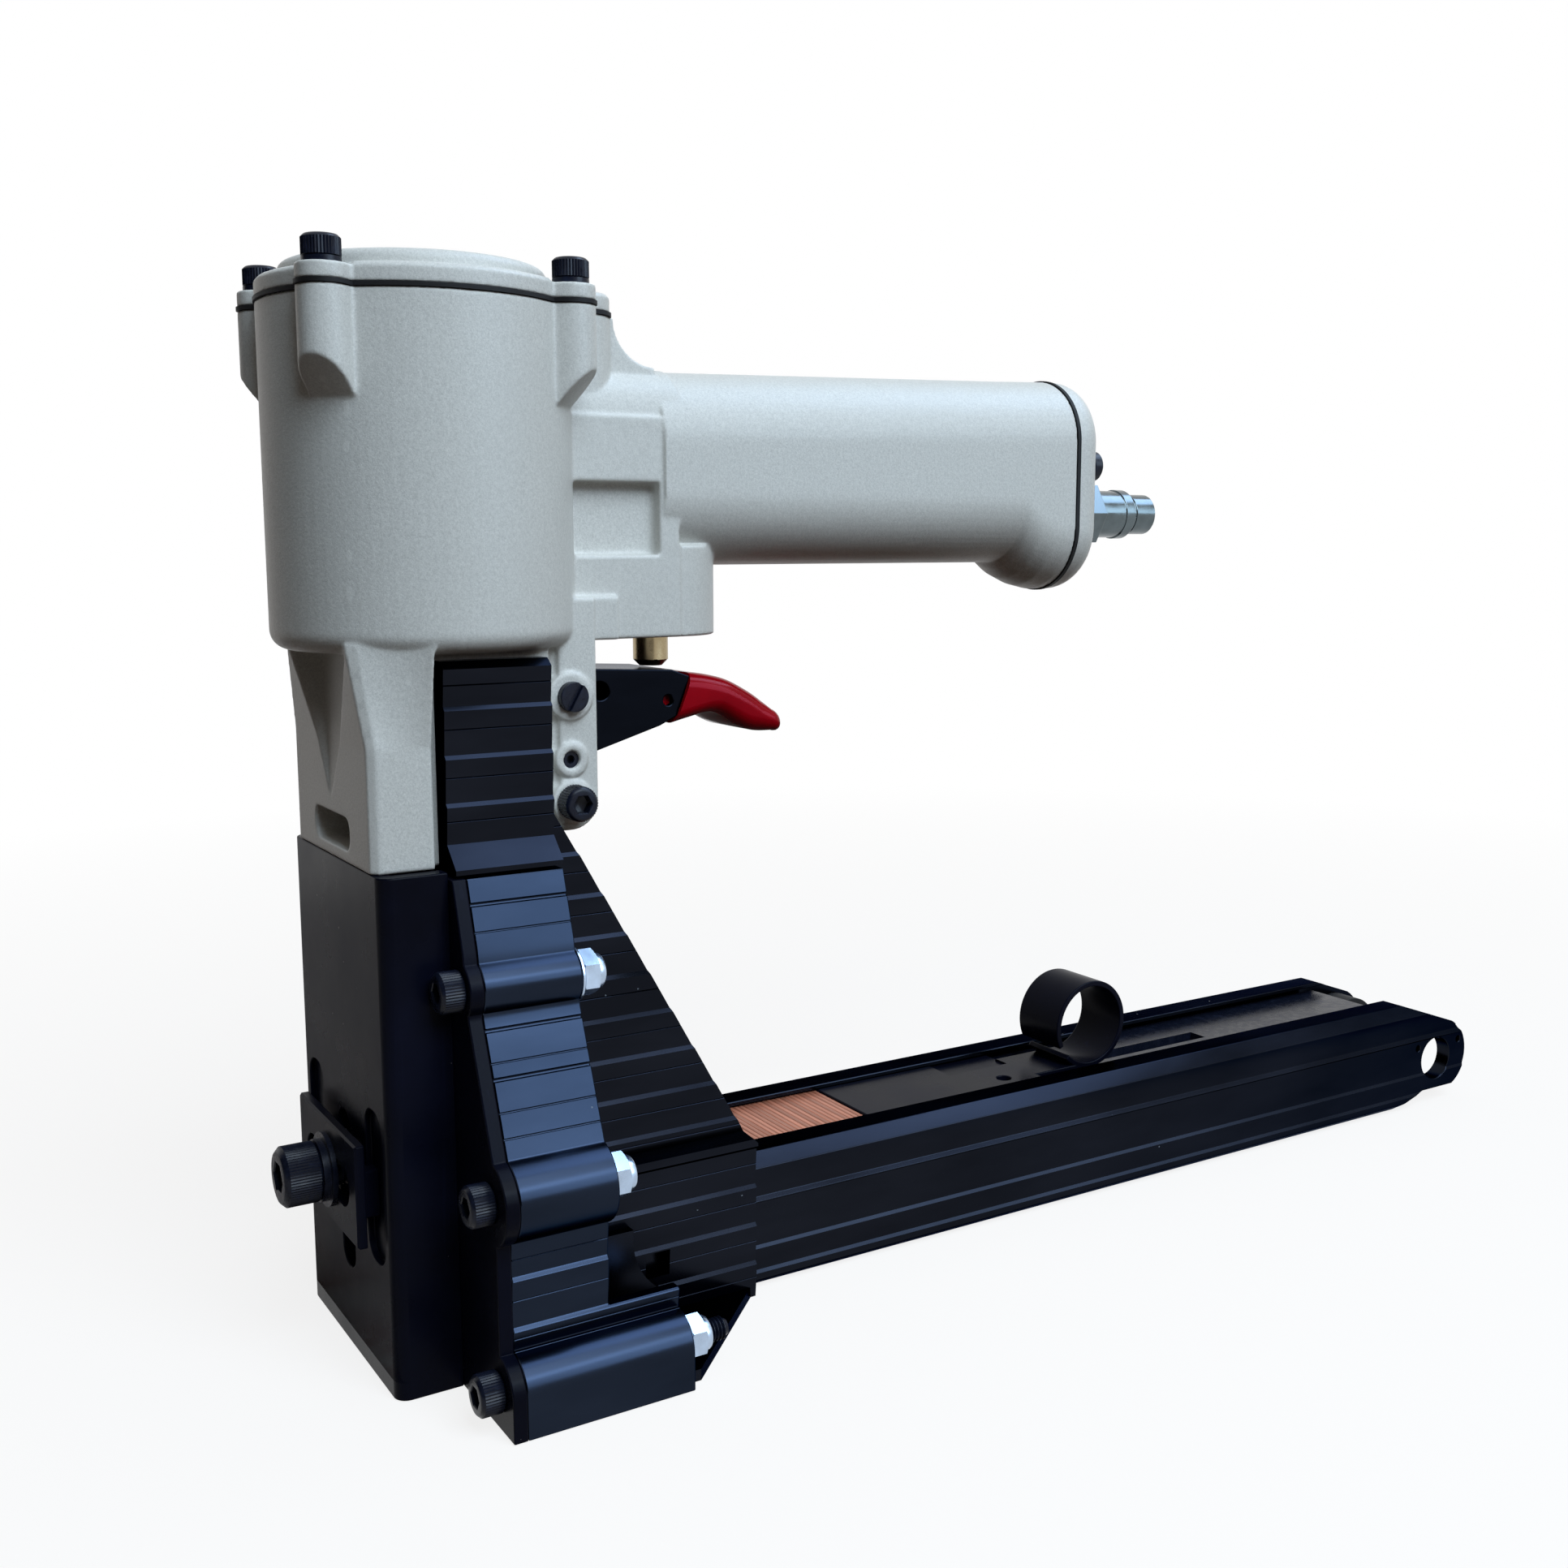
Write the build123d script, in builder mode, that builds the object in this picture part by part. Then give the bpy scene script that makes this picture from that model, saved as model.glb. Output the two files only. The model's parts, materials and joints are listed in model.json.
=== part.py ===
from build123d import *
import os
from math import atan2, cos, degrees, hypot, radians, sin

# Sizes are in millimetres, +Z is up and the nose points along -X.
# A distance named u is measured backwards from the nose's front face.

# Fits
run_gap = 0.05
slide_gap = 0.2
seat_gap = 0.1
thread_gap = 0.05

# Nose cover
nose_width = 60.0
nose_depth = 14.0
nose_height = 108.5
nose_wall = 3.5
nose_corner = 3.0
groove_depth = 1.4
groove_width = 10.6
groove_offset = 19.9
groove_span = (26.5, 59.0)
groove_round = 4.5
nose_slot_low = 18.0

# Depth stop
stop_width = 40.0
stop_height = 22.0
stop_proud = 4.0
stop_thick = 2.1
stop_key_inner = 15.2
stop_key_width = 3.6
stop_key_height = 10.0
stop_level = 41.0
stop_drop = 2.5
stop_rise = 8.0
stop_slot_length = 30.0
stop_edge = 0.4
stop_thread = 8.0
stop_head_width = 13.0
stop_head_height = 8.0
flat_washer_width = 16.0
flat_washer_thick = 1.0
spring_washer_width = 13.4
spring_washer_thick = 1.5
stop_nut_size = 13.0
stop_nut_thick = 6.4

# Plates stacked behind the nose cover
front_plate_thick = 3.0
guide_thick = 3.3
driver_thick = 2.0
rear_guide_thick = 4.3
guide_half = 20.5
rear_guide_half = 21.9

# Clincher housing, outlined on the right side as pairs of half width and height
housing_length = 21.0
foot_length = 37.0
foot_height = 20.0
housing_top = 107.2
foot_half = 57.0
waist_half = 50.5
waist_low = 15.5
waist_high = 38.0
shoulder = (49.6, 54.1)
slope_end = (38.9, 80.0)
crown_low = (36.5, 93.5)
crown_half = 31.9
cover_wall = 3.0
cover_inner = 27.3
cover_grooves = (102.2, 78.0, 69.0)
cover_groove_radius = 0.5
cover_scores = (96.9, 72.0, 63.0, 58.3)
cover_score_radius = 0.25
waist_rib_tops = (19.5, 30.0)
waist_board_top = 37.3

# Housing bolts, placed as pairs of half width and height
bolt_spots = ((34.4, 85.5), (47.3, 46.0), (49.5, 8.0))
boss_radii = (6.0, 8.7, 7.5)
bolt_thread = 5.0
bolt_hole = 5.4
bolt_head_width = 8.5
bolt_head_height = 5.0
nut_size = 8.6
nut_height = 3.9
nut_collar_height = 1.6
bolt_washer_width = 10.0
bolt_washer_thick = 1.0
bolt_tips = (0.6, 0.6, 4.6)

# Wing plates
wing_outer = 27.0
wing_length = 69.5
clamp_rib_tops = (8.0, 17.3, 26.6, 36.0)
ridge_outer = 27.8
web_thick = 3.5
web_low = 33.2
web_rib_first = 43.3
web_rib_pitch = 9.27
web_rib_count = 8
web_top = 119.0
slant_top = (38.0, 119.0)
slant_bend = (44.5, 108.2)
slant_low = (84.3, 39.8)
clamp_top = 37.5
tongue_front = 15.0
tongue_thick = 5.8
tongue_low = 113.5
tongue_rib_tops = (121.0, 130.6, 140.3, 148.5)
tongue_top = 150.0
roof_low = 108.0
roof_edge = 109.0
rib_lean = 0.7
rib_rise = 0.8
rib_score = 0.15
rib_score_share = 0.61
flange_thick = 2.5
flange_cut_front = 57.0
land_thick = 2.2
land_low = 9.0
land_high = 24.5
land_top_rear = 54.0
land_low_rear = 61.0
window_side = 6.0
window_front = 58.0
window_low = 11.0

# Clincher arms and pins
pivot_half = 27.0
pivot_level = 12.0
pin_width = 5.0
arm_hub = 5.5
arm_outer = 18.0
arm_inner = 13.0
arm_thick = 6.0
arm_tip_angle = -32.0
arm_sweep = 70.0
arm_taper = 18.0
arm_room = 0.6
pivot_block_width = 9.3
pivot_block_height = 20.0

# Barrel and its head
barrel_radius = 31.5
barrel_low = 151.5
barrel_top = 220.8
barrel_round = 4.0
barrel_floor = 6.5
chamber_radius = 27.5
lug_u = 25.3
lug_y = 21.6
lug_radius = 5.0
lug_fillet = 3.0
lug_low = 200.4
lug_outer_low = 208.0
head_rear = 62.3
head_rear_half = 13.0
head_rear_low = 196.0
head_corner = 7.5
gasket_thick = 0.8
gasket_proud = 0.3
cap_thick = 3.8
cap_edge = 0.8
cap_seat_drop = 0.7
cap_plateau_radius = 27.0
cap_plateau_top = 228.7
cap_plateau_round = 2.0
cap_disc_radius = 21.0
cap_disc_height = 0.6
cap_roof = 226.4
cap_hollow_radius = 24.3
cap_thread = 4.0
cap_head_width = 7.5
cap_head_height = 4.1
cap_washer_thick = 1.1
cap_screw_depth = 14.0
cap_screw_spare = 2.0

# Cylinder, piston and driver
bore_radius = 22.0
liner_wall = 2.5
liner_top = 214.0
bumper_height = 8.0
stroke = 34.0
piston_height = 12.0
piston_margin = 1.0
seal_height = 4.0
seal_depth = 2.5
driver_low = 33.0
driver_half = 17.5
driver_shank_half = 10.0
driver_shoulder = 146.0
driver_seat = 8.0

# Head valve and its spring
head_valve_radius = 23.8
head_valve_thick = 3.0
head_valve_lift = 3.0
head_valve_slack = 0.5
head_stem_radius = 8.0
head_guide_radius = 10.5
head_spring_radius = 14.5
head_spring_wire = 1.2
head_spring_turns = 3.0

# Neck, core and trigger ears
core_half = 22.0
core_front = 13.0
core_rear = 40.0
neck_half = 26.0
neck_bevel = 1.5
neck_flare_low = 133.0
neck_flare_high = 153.5
neck_flare_half = 30.0
neck_flare_corner = (-0.5, 22.5)
neck_flare_edge = (-2.3, 20.7)
pocket_apex = 120.5
pocket_floor = (4.2, 16.3)
pocket_rim = (-2.1, 20.0)
pocket_spread = 3.0
neck_window_width = 24.0
neck_window_height = 7.0
neck_window_level = 114.5
neck_window_round = 3.0
neck_window_depth = 12.0
ear_inner = 13.0
ear_outer = 18.0
ear_rear = 52.7
ear_top = 161.7
ear_pad = 0.8
ear_step_u = 44.0
ear_step_depth = 1.5
pivot_pad = 5.1
ear_bolt_pad = 4.6
set_screw_pad = 3.7
ear_shelf_rear = 59.0
ear_shelf_half = 16.6

# Trigger pivot and the screws in the ears
pivot_u = 46.4
trigger_level = 141.0
pivot_width = 5.0
pivot_head_width = 6.4
pivot_head_height = 2.0
pivot_slot = 1.0
pivot_slot_turn = -60.0
pivot_nut_height = 3.0
ear_bolt_level = 118.5
ear_bolt_head_width = 7.6
ear_bolt_head_height = 5.0
ear_bolt_radius = 6.3
set_screw_level = 127.5
set_screw_width = 3.7

# Web, valve housing and handle
web_half = 15.0
valve_u = 74.8
valve_housing_radius = 14.5
valve_housing_low = 152.5
web_ledge = 200.0
web_spine_half = 14.0
web_spine_top = 210.8
web_spine_height = 28.0
web_spine_round = 11.0
web_fillet = 10.0
web_fillet_half = 9.0
side_pocket_u = (49.5, 70.0)
side_pocket_z = (170.5, 186.0)
side_pocket_depth = 3.5
handle_front = 71.0
handle_half = 16.0
handle_low = 168.0
handle_top_front = 210.6
handle_top_rear = 214.0
handle_rear = 188.0
flare_front = 172.0
flare_low = 161.0
flare_steps = ((0, 0), (0.1, 0.22), (0.3, 0.58), (0.57, 0.85), (0.87, 1.0), (1.0, 1.0))
flare_rise = 0.6
handle_wall = 4.5
air_way_half = 8.0
air_way_low = 188.0
air_way_high = 205.0

# Handle end cap and air plug
end_gasket_thick = 1.0
end_gasket_proud = 0.3
end_cap_length = 8.7
end_cap_round = 6.5
end_cap_wall = 5.0
end_screw_spots = ((9.5, 192.5), (-9.5, 192.5), (0, 168.5))
end_screw_thread = 4.0
end_screw_head_width = 7.5
end_screw_head_height = 2.8
end_screw_seat_depth = 0.9
end_screw_depth = 9.0
end_boss_radius = 4.0
end_boss_length = 10.0
plug_level = 180.5
plug_thread = 11.0
plug_hex = 15.0
plug_hex_length = 8.0
plug_body_radius = 6.2
plug_body_length = 8.8
plug_bead_radius = 6.5
plug_bead_length = 3.0
plug_neck_radius = 5.0
plug_neck_length = 1.8
plug_tip_radius = 5.3
plug_tip_length = 7.2
plug_edge = 0.8
plug_bore = 6.0

# Trigger valve
bush_width = 13.0
bush_top = 173.0
bush_roof = 1.5
bush_vent = 4.0
stem_width = 8.0
stem_low = 145.4
stem_top = 162.0
stem_dome = 1.4
stem_spring_radius = 2.7
stem_spring_wire = 0.7
stem_spring_turns = 5.0

# Trigger lever, outlined as pairs of u and height
trigger_half = 11.0
trigger_sheet = 1.8
trigger_side = (
    (42.0, 146.6),
    (74.6, 145.0),
    (79.0, 143.4),
    (76.4, 134.9),
    (71.5, 132.6),
    (50.0, 126.2),
    (42.0, 136.0),
)
trigger_nose_round = 2.0
trigger_tail = ((77.0, 142.6), (88.5, 140.4), (95.0, 136.6), (99.0, 133.8))
trigger_tail_thick = 1.8
trigger_tail_half = 7.0
trigger_roof = 1.8
trigger_hole = (73.5, 138.2)
trigger_hole_width = 2.4
trigger_rivet = (56.9, 141.1)
trigger_rivet_width = 4.2
grip_top = ((71.2, 144.4), (82.0, 144.0), (89.5, 142.3), (97.2, 138.0), (103.6, 132.4))
grip_bottom = ((101.6, 129.8), (97.1, 129.4), (92.5, 131.0), (86.4, 135.4), (77.3, 133.4), (71.2, 131.9))
grip_half = 12.0
grip_round = 1.6

# Magazine rails
rail_half = 23.4
rail_low = 0.7
rail_top = 32.2
rail_front = 27.4
rail_inner = 18.2
rail_lip_inner = 12.7
rail_lip_thick = 1.4
rail_foot_inner = 13.5
rail_foot_thick = 2.5
rail_bevel = 3.2
rail_toe_bevel = 1.4
rail_step = 0.35
rail_step_rise = 0.8
rail_steps = (4.5, 10.4)
rail_groove = (21.0, 23.4)
rail_groove_depth = 0.9
rail_band = (26.8, 29.0)
rail_band_depth = 0.5
magazine_end = 349.0
rail_slope_front = 321.0
rail_slope_rear = 343.0
rail_slope_low = 24.6
rail_toe_front = 316.0
rail_toe_rear = 329.0
rail_toe_low = 4.6
rail_end_hole = (334.7, 14.2)
rail_end_hole_width = 13.0
rail_small_holes = ((326.2, 18.5), (345.3, 18.6))
rail_small_hole_width = 1.9

# Staple core, staples and pusher
core_channel_half = 15.6
core_channel_top = 28.7
core_channel_wall = 2.5
core_channel_rear = 322.0
wire_thick = 1.5
staple_gap = 0.3
staple_leg_low = 12.0
staple_rear = 128.5
pusher_length = 57.0
pusher_gap = 0.4
pusher_plate_half = 12.3
pusher_plate_top = 31.0
pusher_notch_u = 165.0
pusher_notch_y = 3.0
pusher_hole_u = 176.0
pusher_hole_width = 4.0
pusher_travel = 120.0
loop_u = 205.0
loop_radius = 12.2
loop_half = 8.0
strip_thick = 1.5
loop_gap_start = 206.0
loop_gap_end = 224.0

# Feed spring
drum_u = 42.0
drum_level = 13.6
drum_radius = 8.6
drum_half = 12.6
axle_width = 5.0
ribbon_thick = 0.3
ribbon_half = 9.0
ribbon_gap = 0.4
tab_half = 2.5
tab_length = 4.0

# Buffer at the magazine's end
buffer_radius = 11.2
buffer_u = 334.7
buffer_inner = 9.5

# Positions that follow from the sizes above
front_reach = stop_proud + flat_washer_thick + spring_washer_thick + stop_head_height
nose_x = (front_reach - magazine_end) / 2
housing_front = nose_depth + front_plate_thick
housing_rear = housing_front + housing_length
foot_rear = housing_front + foot_length
wing_rear = housing_front + wing_length
wing_inner = rail_half + slide_gap
web_inner = core_half + slide_gap
web_outer = web_inner + web_thick
tongue_outer = web_inner + tongue_thick
flange_half = foot_half - cover_wall - slide_gap
driver_front = housing_front + guide_thick + slide_gap
barrel_u = driver_front + driver_thick / 2
rear_guide_front = driver_front + driver_thick + slide_gap
arm_front = barrel_u - arm_thick / 2
arm_rear = arm_front + arm_thick
pivot_block_front = arm_rear + 2.5
chamber_floor = barrel_low + barrel_floor
gasket_top = barrel_top + gasket_thick
head_valve_top = liner_top + head_valve_thick
head_guide_low = head_valve_top + head_valve_lift + head_valve_slack
cap_top = gasket_top + cap_thick
piston_low = chamber_floor + bumper_height + stroke + piston_margin
end_cap_front = handle_rear + end_gasket_thick
end_cap_rear = end_cap_front + end_cap_length
plug_end = end_cap_rear + plug_body_length + plug_hex_length
plug_end += plug_bead_length + plug_neck_length + plug_tip_length
lug_circle = hypot(lug_u, lug_y)
lug_angle = degrees(atan2(lug_y, lug_u))
cap_seat = cap_top - cap_seat_drop
stop_low = stop_level - stop_height / 2
stop_high = stop_level + stop_height / 2
pusher_front = staple_rear + seat_gap
pusher_rear = pusher_front + pusher_length

outline = [
    (foot_half, 0),
    (foot_half, bolt_spots[2][1]),
    (waist_half, waist_low),
    (waist_half, waist_high),
    shoulder,
    slope_end,
    crown_low,
    (crown_half, housing_top),
]


def at(u):
    # Distance behind the nose front turned into X
    return nose_x + u


def side_view(points):
    # Pairs of u and height turned into points of the side view
    return [(at(u), z) for u, z in points]


def block(u_span, y_span, z_span, mode=Mode.ADD):
    # Box between limits in u, Y and Z
    spans = (u_span, y_span, z_span)
    middle = [(low + high) / 2 for low, high in spans]
    with Locations((at(middle[0]), middle[1], middle[2])):
        Box(*[high - low for low, high in spans], mode=mode)


def rod_x(u_span, y, z, radius, mode=Mode.ADD):
    # Round bar along X
    with Locations((at(sum(u_span) / 2), y, z)):
        Cylinder(radius, u_span[1] - u_span[0], rotation=(0, 90, 0), mode=mode)


def rod_y(u, y_span, z, radius, mode=Mode.ADD):
    # Round bar along Y
    with Locations((at(u), sum(y_span) / 2, z)):
        Cylinder(radius, y_span[1] - y_span[0], rotation=(90, 0, 0), mode=mode)


def rod_z(u, y, z_span, radius, mode=Mode.ADD):
    # Round bar along Z
    with Locations((at(u), y, sum(z_span) / 2)):
        Cylinder(radius, z_span[1] - z_span[0], mode=mode)


def both_sides(inner, outer):
    # The same span of Y on the right and on the left
    return ((inner, outer), (-outer, -inner))


def face_x(u):
    # Plane across the tool at u, drawn in Y and Z
    return Plane.YZ.offset(at(u))


def face_y(y):
    # Plane along the tool at Y, drawn in X and Z
    return Plane.XZ.offset(-y)


def board_edge(face, levels):
    # Outer edge of stepped boards, each leaning out to a sloped ledge and scored once across
    points = [(face - rib_lean, levels[0])]
    score_face = face - rib_lean * (1 - rib_score_share)
    for low, high in zip(levels, levels[1:]):
        score = low + rib_score_share * (high - low)
        points.append((score_face, score - rib_score))
        points.append((score_face - rib_score, score))
        points.append((score_face, score + rib_score))
        points.append((face, high))
        points.append((face - rib_lean, high + rib_rise))
    return points[:-1]


def outline_half(z):
    # Half width of the housing's outline at a height
    for (y_low, z_low), (y_high, z_high) in zip(outline, outline[1:]):
        if z_low <= z <= z_high:
            return y_low + (y_high - y_low) * (z - z_low) / (z_high - z_low)
    return crown_half


def housing_face(inner, side):
    # Outline of one side of the housing with its round bolt bosses
    points = [(inner, 0)] + outline + [(inner, housing_top)]
    Polygon(*[(side * y, z) for y, z in points], align=None)
    for (y, z), radius in zip(bolt_spots, boss_radii):
        with Locations((side * y, z)):
            Circle(radius)


def lug_discs(radius, mode=Mode.ADD):
    # Discs at the four screw lugs, drawn about the barrel's axis
    with GridLocations(2 * lug_u, 2 * lug_y, 2, 2):
        Circle(radius, mode=mode)


def head_face(z, grow):
    # Outline of the barrel's head with filleted lugs and the rear extension
    with BuildSketch(head_plane(z)) as head:
        Circle(barrel_radius + grow)
        lug_discs(lug_radius + grow)
        for turn in (lug_angle, -lug_angle):
            Rectangle(2 * lug_circle, 2 * (lug_radius + grow), rotation=turn)
        inner_corners = [
            corner
            for corner in head.vertices()
            if abs(hypot(corner.X - at(barrel_u), corner.Y) - barrel_radius - grow) < seat_gap
        ]
        fillet(inner_corners, lug_fillet - grow)
        length = head_rear - barrel_u + grow
        with Locations((length / 2, 0)):
            RectangleRounded(length, 2 * (head_rear_half + grow), head_corner)
    return head.sketch


def head_plane(z):
    # Level plane centred on the barrel's axis
    return Plane((at(barrel_u), 0, z))


def socket_screw(thread, length, head_width, head_height):
    # Socket head screw with its head on top of the XY plane
    with BuildPart() as screw:
        Cylinder(head_width / 2, head_height, align=(Align.CENTER, Align.CENTER, Align.MIN))
        chamfer(screw.edges().group_by(Axis.Z)[-1], head_width / 20)
        with BuildSketch(Plane.XY.offset(head_height)):
            RegularPolygon(thread * 0.4, 6, major_radius=False)
        extrude(amount=-head_height * 0.55, mode=Mode.SUBTRACT)
        Cylinder(thread / 2, length, align=(Align.CENTER, Align.CENTER, Align.MAX))
    return screw.part


def washer(hole, width, thick):
    # Flat ring on top of the XY plane
    with BuildPart() as ring:
        Cylinder(width / 2, thick, align=(Align.CENTER, Align.CENTER, Align.MIN))
        Cylinder(hole / 2, thick, align=(Align.CENTER, Align.CENTER, Align.MIN), mode=Mode.SUBTRACT)
    return ring.part


def spring_washer(hole, width, thick):
    # Split ring on top of the XY plane
    with BuildPart() as ring:
        add(washer(hole, width, thick))
        with Locations((width / 2, 0, thick / 2)):
            Box(width, thick * 0.6, thick, rotation=(30, 0, 0), mode=Mode.SUBTRACT)
    return ring.part


def lock_nut(thread, size, height, collar):
    # Hexagon nut with a round collar, on top of the XY plane
    with BuildPart() as nut:
        with BuildSketch():
            RegularPolygon(size / 2, 6, major_radius=False)
        extrude(amount=height)
        with Locations((0, 0, height)):
            Cylinder(size * 0.46, collar, align=(Align.CENTER, Align.CENTER, Align.MIN))
        chamfer(nut.edges().group_by(Axis.Z)[-1], collar / 3)
        Cylinder(thread / 2 + thread_gap, 4 * height, mode=Mode.SUBTRACT)
    return nut.part


def coil_spring(radius, wire, turns, u, z_span):
    # Open coil between two levels about an upright axis
    low = z_span[0] + wire / 2
    height = z_span[1] - z_span[0] - wire
    with BuildPart() as spring:
        with BuildLine() as path:
            Helix(height / turns, height, radius, center=(at(u), 0, low))
        with BuildSketch(Plane(path.line @ 0, z_dir=path.line % 0)):
            Circle(wire / 2)
        sweep(path=path.line, is_frenet=True)
    return spring.part


def bolt_plane(u, y, z):
    # Plane for a fastener whose head points forward
    return Plane((at(u), y, z), z_dir=(-1, 0, 0))


def nut_plane(u, y, z):
    # Plane for a fastener that faces backwards
    return Plane((at(u), y, z), z_dir=(1, 0, 0))


def handle_slot(low, high, inset, mode=Mode.ADD):
    # Upright section of the handle with full round ends
    with Locations((0, (low + high) / 2)):
        SlotOverall(high - low - 2 * inset, 2 * (handle_half - inset), rotation=90, mode=mode)


# Nose cover: a channel with a shallow guide groove near each front edge and an upright bolt slot
with BuildPart() as nose_cover:
    half = nose_width / 2
    block((0, nose_depth), (-half, half), (0, nose_height))
    fillet(nose_cover.edges().filter_by(Axis.Z).group_by(Axis.X)[0], nose_corner)
    inside = half - nose_wall
    block((nose_wall, nose_depth), (-inside, inside), (0, nose_height), Mode.SUBTRACT)
    groove_level = sum(groove_span) / 2
    with BuildSketch(face_x(0)):
        with Locations((-groove_offset, groove_level), (groove_offset, groove_level)):
            RectangleRounded(groove_width, groove_span[1] - groove_span[0], groove_round)
    extrude(amount=groove_depth, mode=Mode.SUBTRACT)
    nose_slot_high = stop_level + stop_rise + stop_thread / 2 + 2 * slide_gap
    with BuildSketch(face_x(0)):
        with Locations((0, (nose_slot_low + nose_slot_high) / 2)):
            SlotOverall(nose_slot_high - nose_slot_low, stop_thread + 3 * slide_gap, rotation=90)
    extrude(amount=nose_wall, mode=Mode.SUBTRACT)

# Depth stop: plate with a level slot and two keys, bolt, washers and a square nut inside the nose
with BuildPart() as stop_plate:
    stop_back = stop_thick - stop_proud
    block((-stop_proud, stop_back), (-stop_width / 2, stop_width / 2), (stop_low, stop_high))
    chamfer(stop_plate.faces().sort_by(Axis.X)[0].edges(), stop_edge)
    key_z = (stop_level - stop_key_height / 2, stop_level + stop_key_height / 2)
    for side in (-1, 1):
        key_y = sorted((side * stop_key_inner, side * (stop_key_inner + stop_key_width)))
        block((stop_back, groove_depth - seat_gap), key_y, key_z)
    with BuildSketch(face_x(-stop_proud)):
        with Locations((0, stop_level)):
            SlotOverall(stop_slot_length, stop_thread + 3 * slide_gap)
    extrude(amount=stop_proud + groove_depth, mode=Mode.SUBTRACT)

stop_head_u = -stop_proud - flat_washer_thick - spring_washer_thick
stop_nut_u = nose_wall + seat_gap
stop_screw = socket_screw(
    stop_thread, stop_nut_u + stop_nut_thick - stop_head_u, stop_head_width, stop_head_height
)
stop_flat = washer(stop_thread + 2 * slide_gap, flat_washer_width, flat_washer_thick)
stop_split = spring_washer(stop_thread + 2 * slide_gap, spring_washer_width, spring_washer_thick)

with BuildPart() as stop_bolt:
    with Locations(bolt_plane(stop_head_u, 0, stop_level)):
        add(stop_screw)

with BuildPart() as stop_flat_washer:
    with Locations(bolt_plane(-stop_proud, 0, stop_level)):
        add(stop_flat)

with BuildPart() as stop_spring_washer:
    with Locations(bolt_plane(-stop_proud - flat_washer_thick, 0, stop_level)):
        add(stop_split)

with BuildPart() as stop_nut:
    nut_half = stop_nut_size / 2
    block(
        (stop_nut_u, stop_nut_u + stop_nut_thick),
        (-nut_half, nut_half),
        (stop_level - nut_half, stop_level + nut_half),
    )
    rod_x((0, nose_depth), 0, stop_level, stop_thread / 2 + thread_gap, Mode.SUBTRACT)

# Front plate over the whole width
with BuildPart() as front_plate:
    with BuildSketch(face_x(nose_depth)):
        housing_face(0, 1)
        housing_face(0, -1)
        for side in (1, -1):
            with Locations(*[(side * y, z) for y, z in bolt_spots]):
                Circle(bolt_hole / 2, mode=Mode.SUBTRACT)
            with Locations((side * pivot_half, pivot_level)):
                Circle(pin_width / 2 + thread_gap, mode=Mode.SUBTRACT)
    extrude(amount=front_plate_thick)

# Guides in front of and behind the driver
with BuildPart() as driver_guide:
    guide_span = (housing_front, housing_front + guide_thick)
    block(guide_span, (-guide_half, guide_half), (slide_gap, nose_height - slide_gap))

with BuildPart() as rear_guide:
    rear_guide_span = (rear_guide_front, rear_guide_front + rear_guide_thick)
    rear_guide_z = (web_low, nose_height - slide_gap)
    block(rear_guide_span, (-rear_guide_half, rear_guide_half), rear_guide_z)

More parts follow.
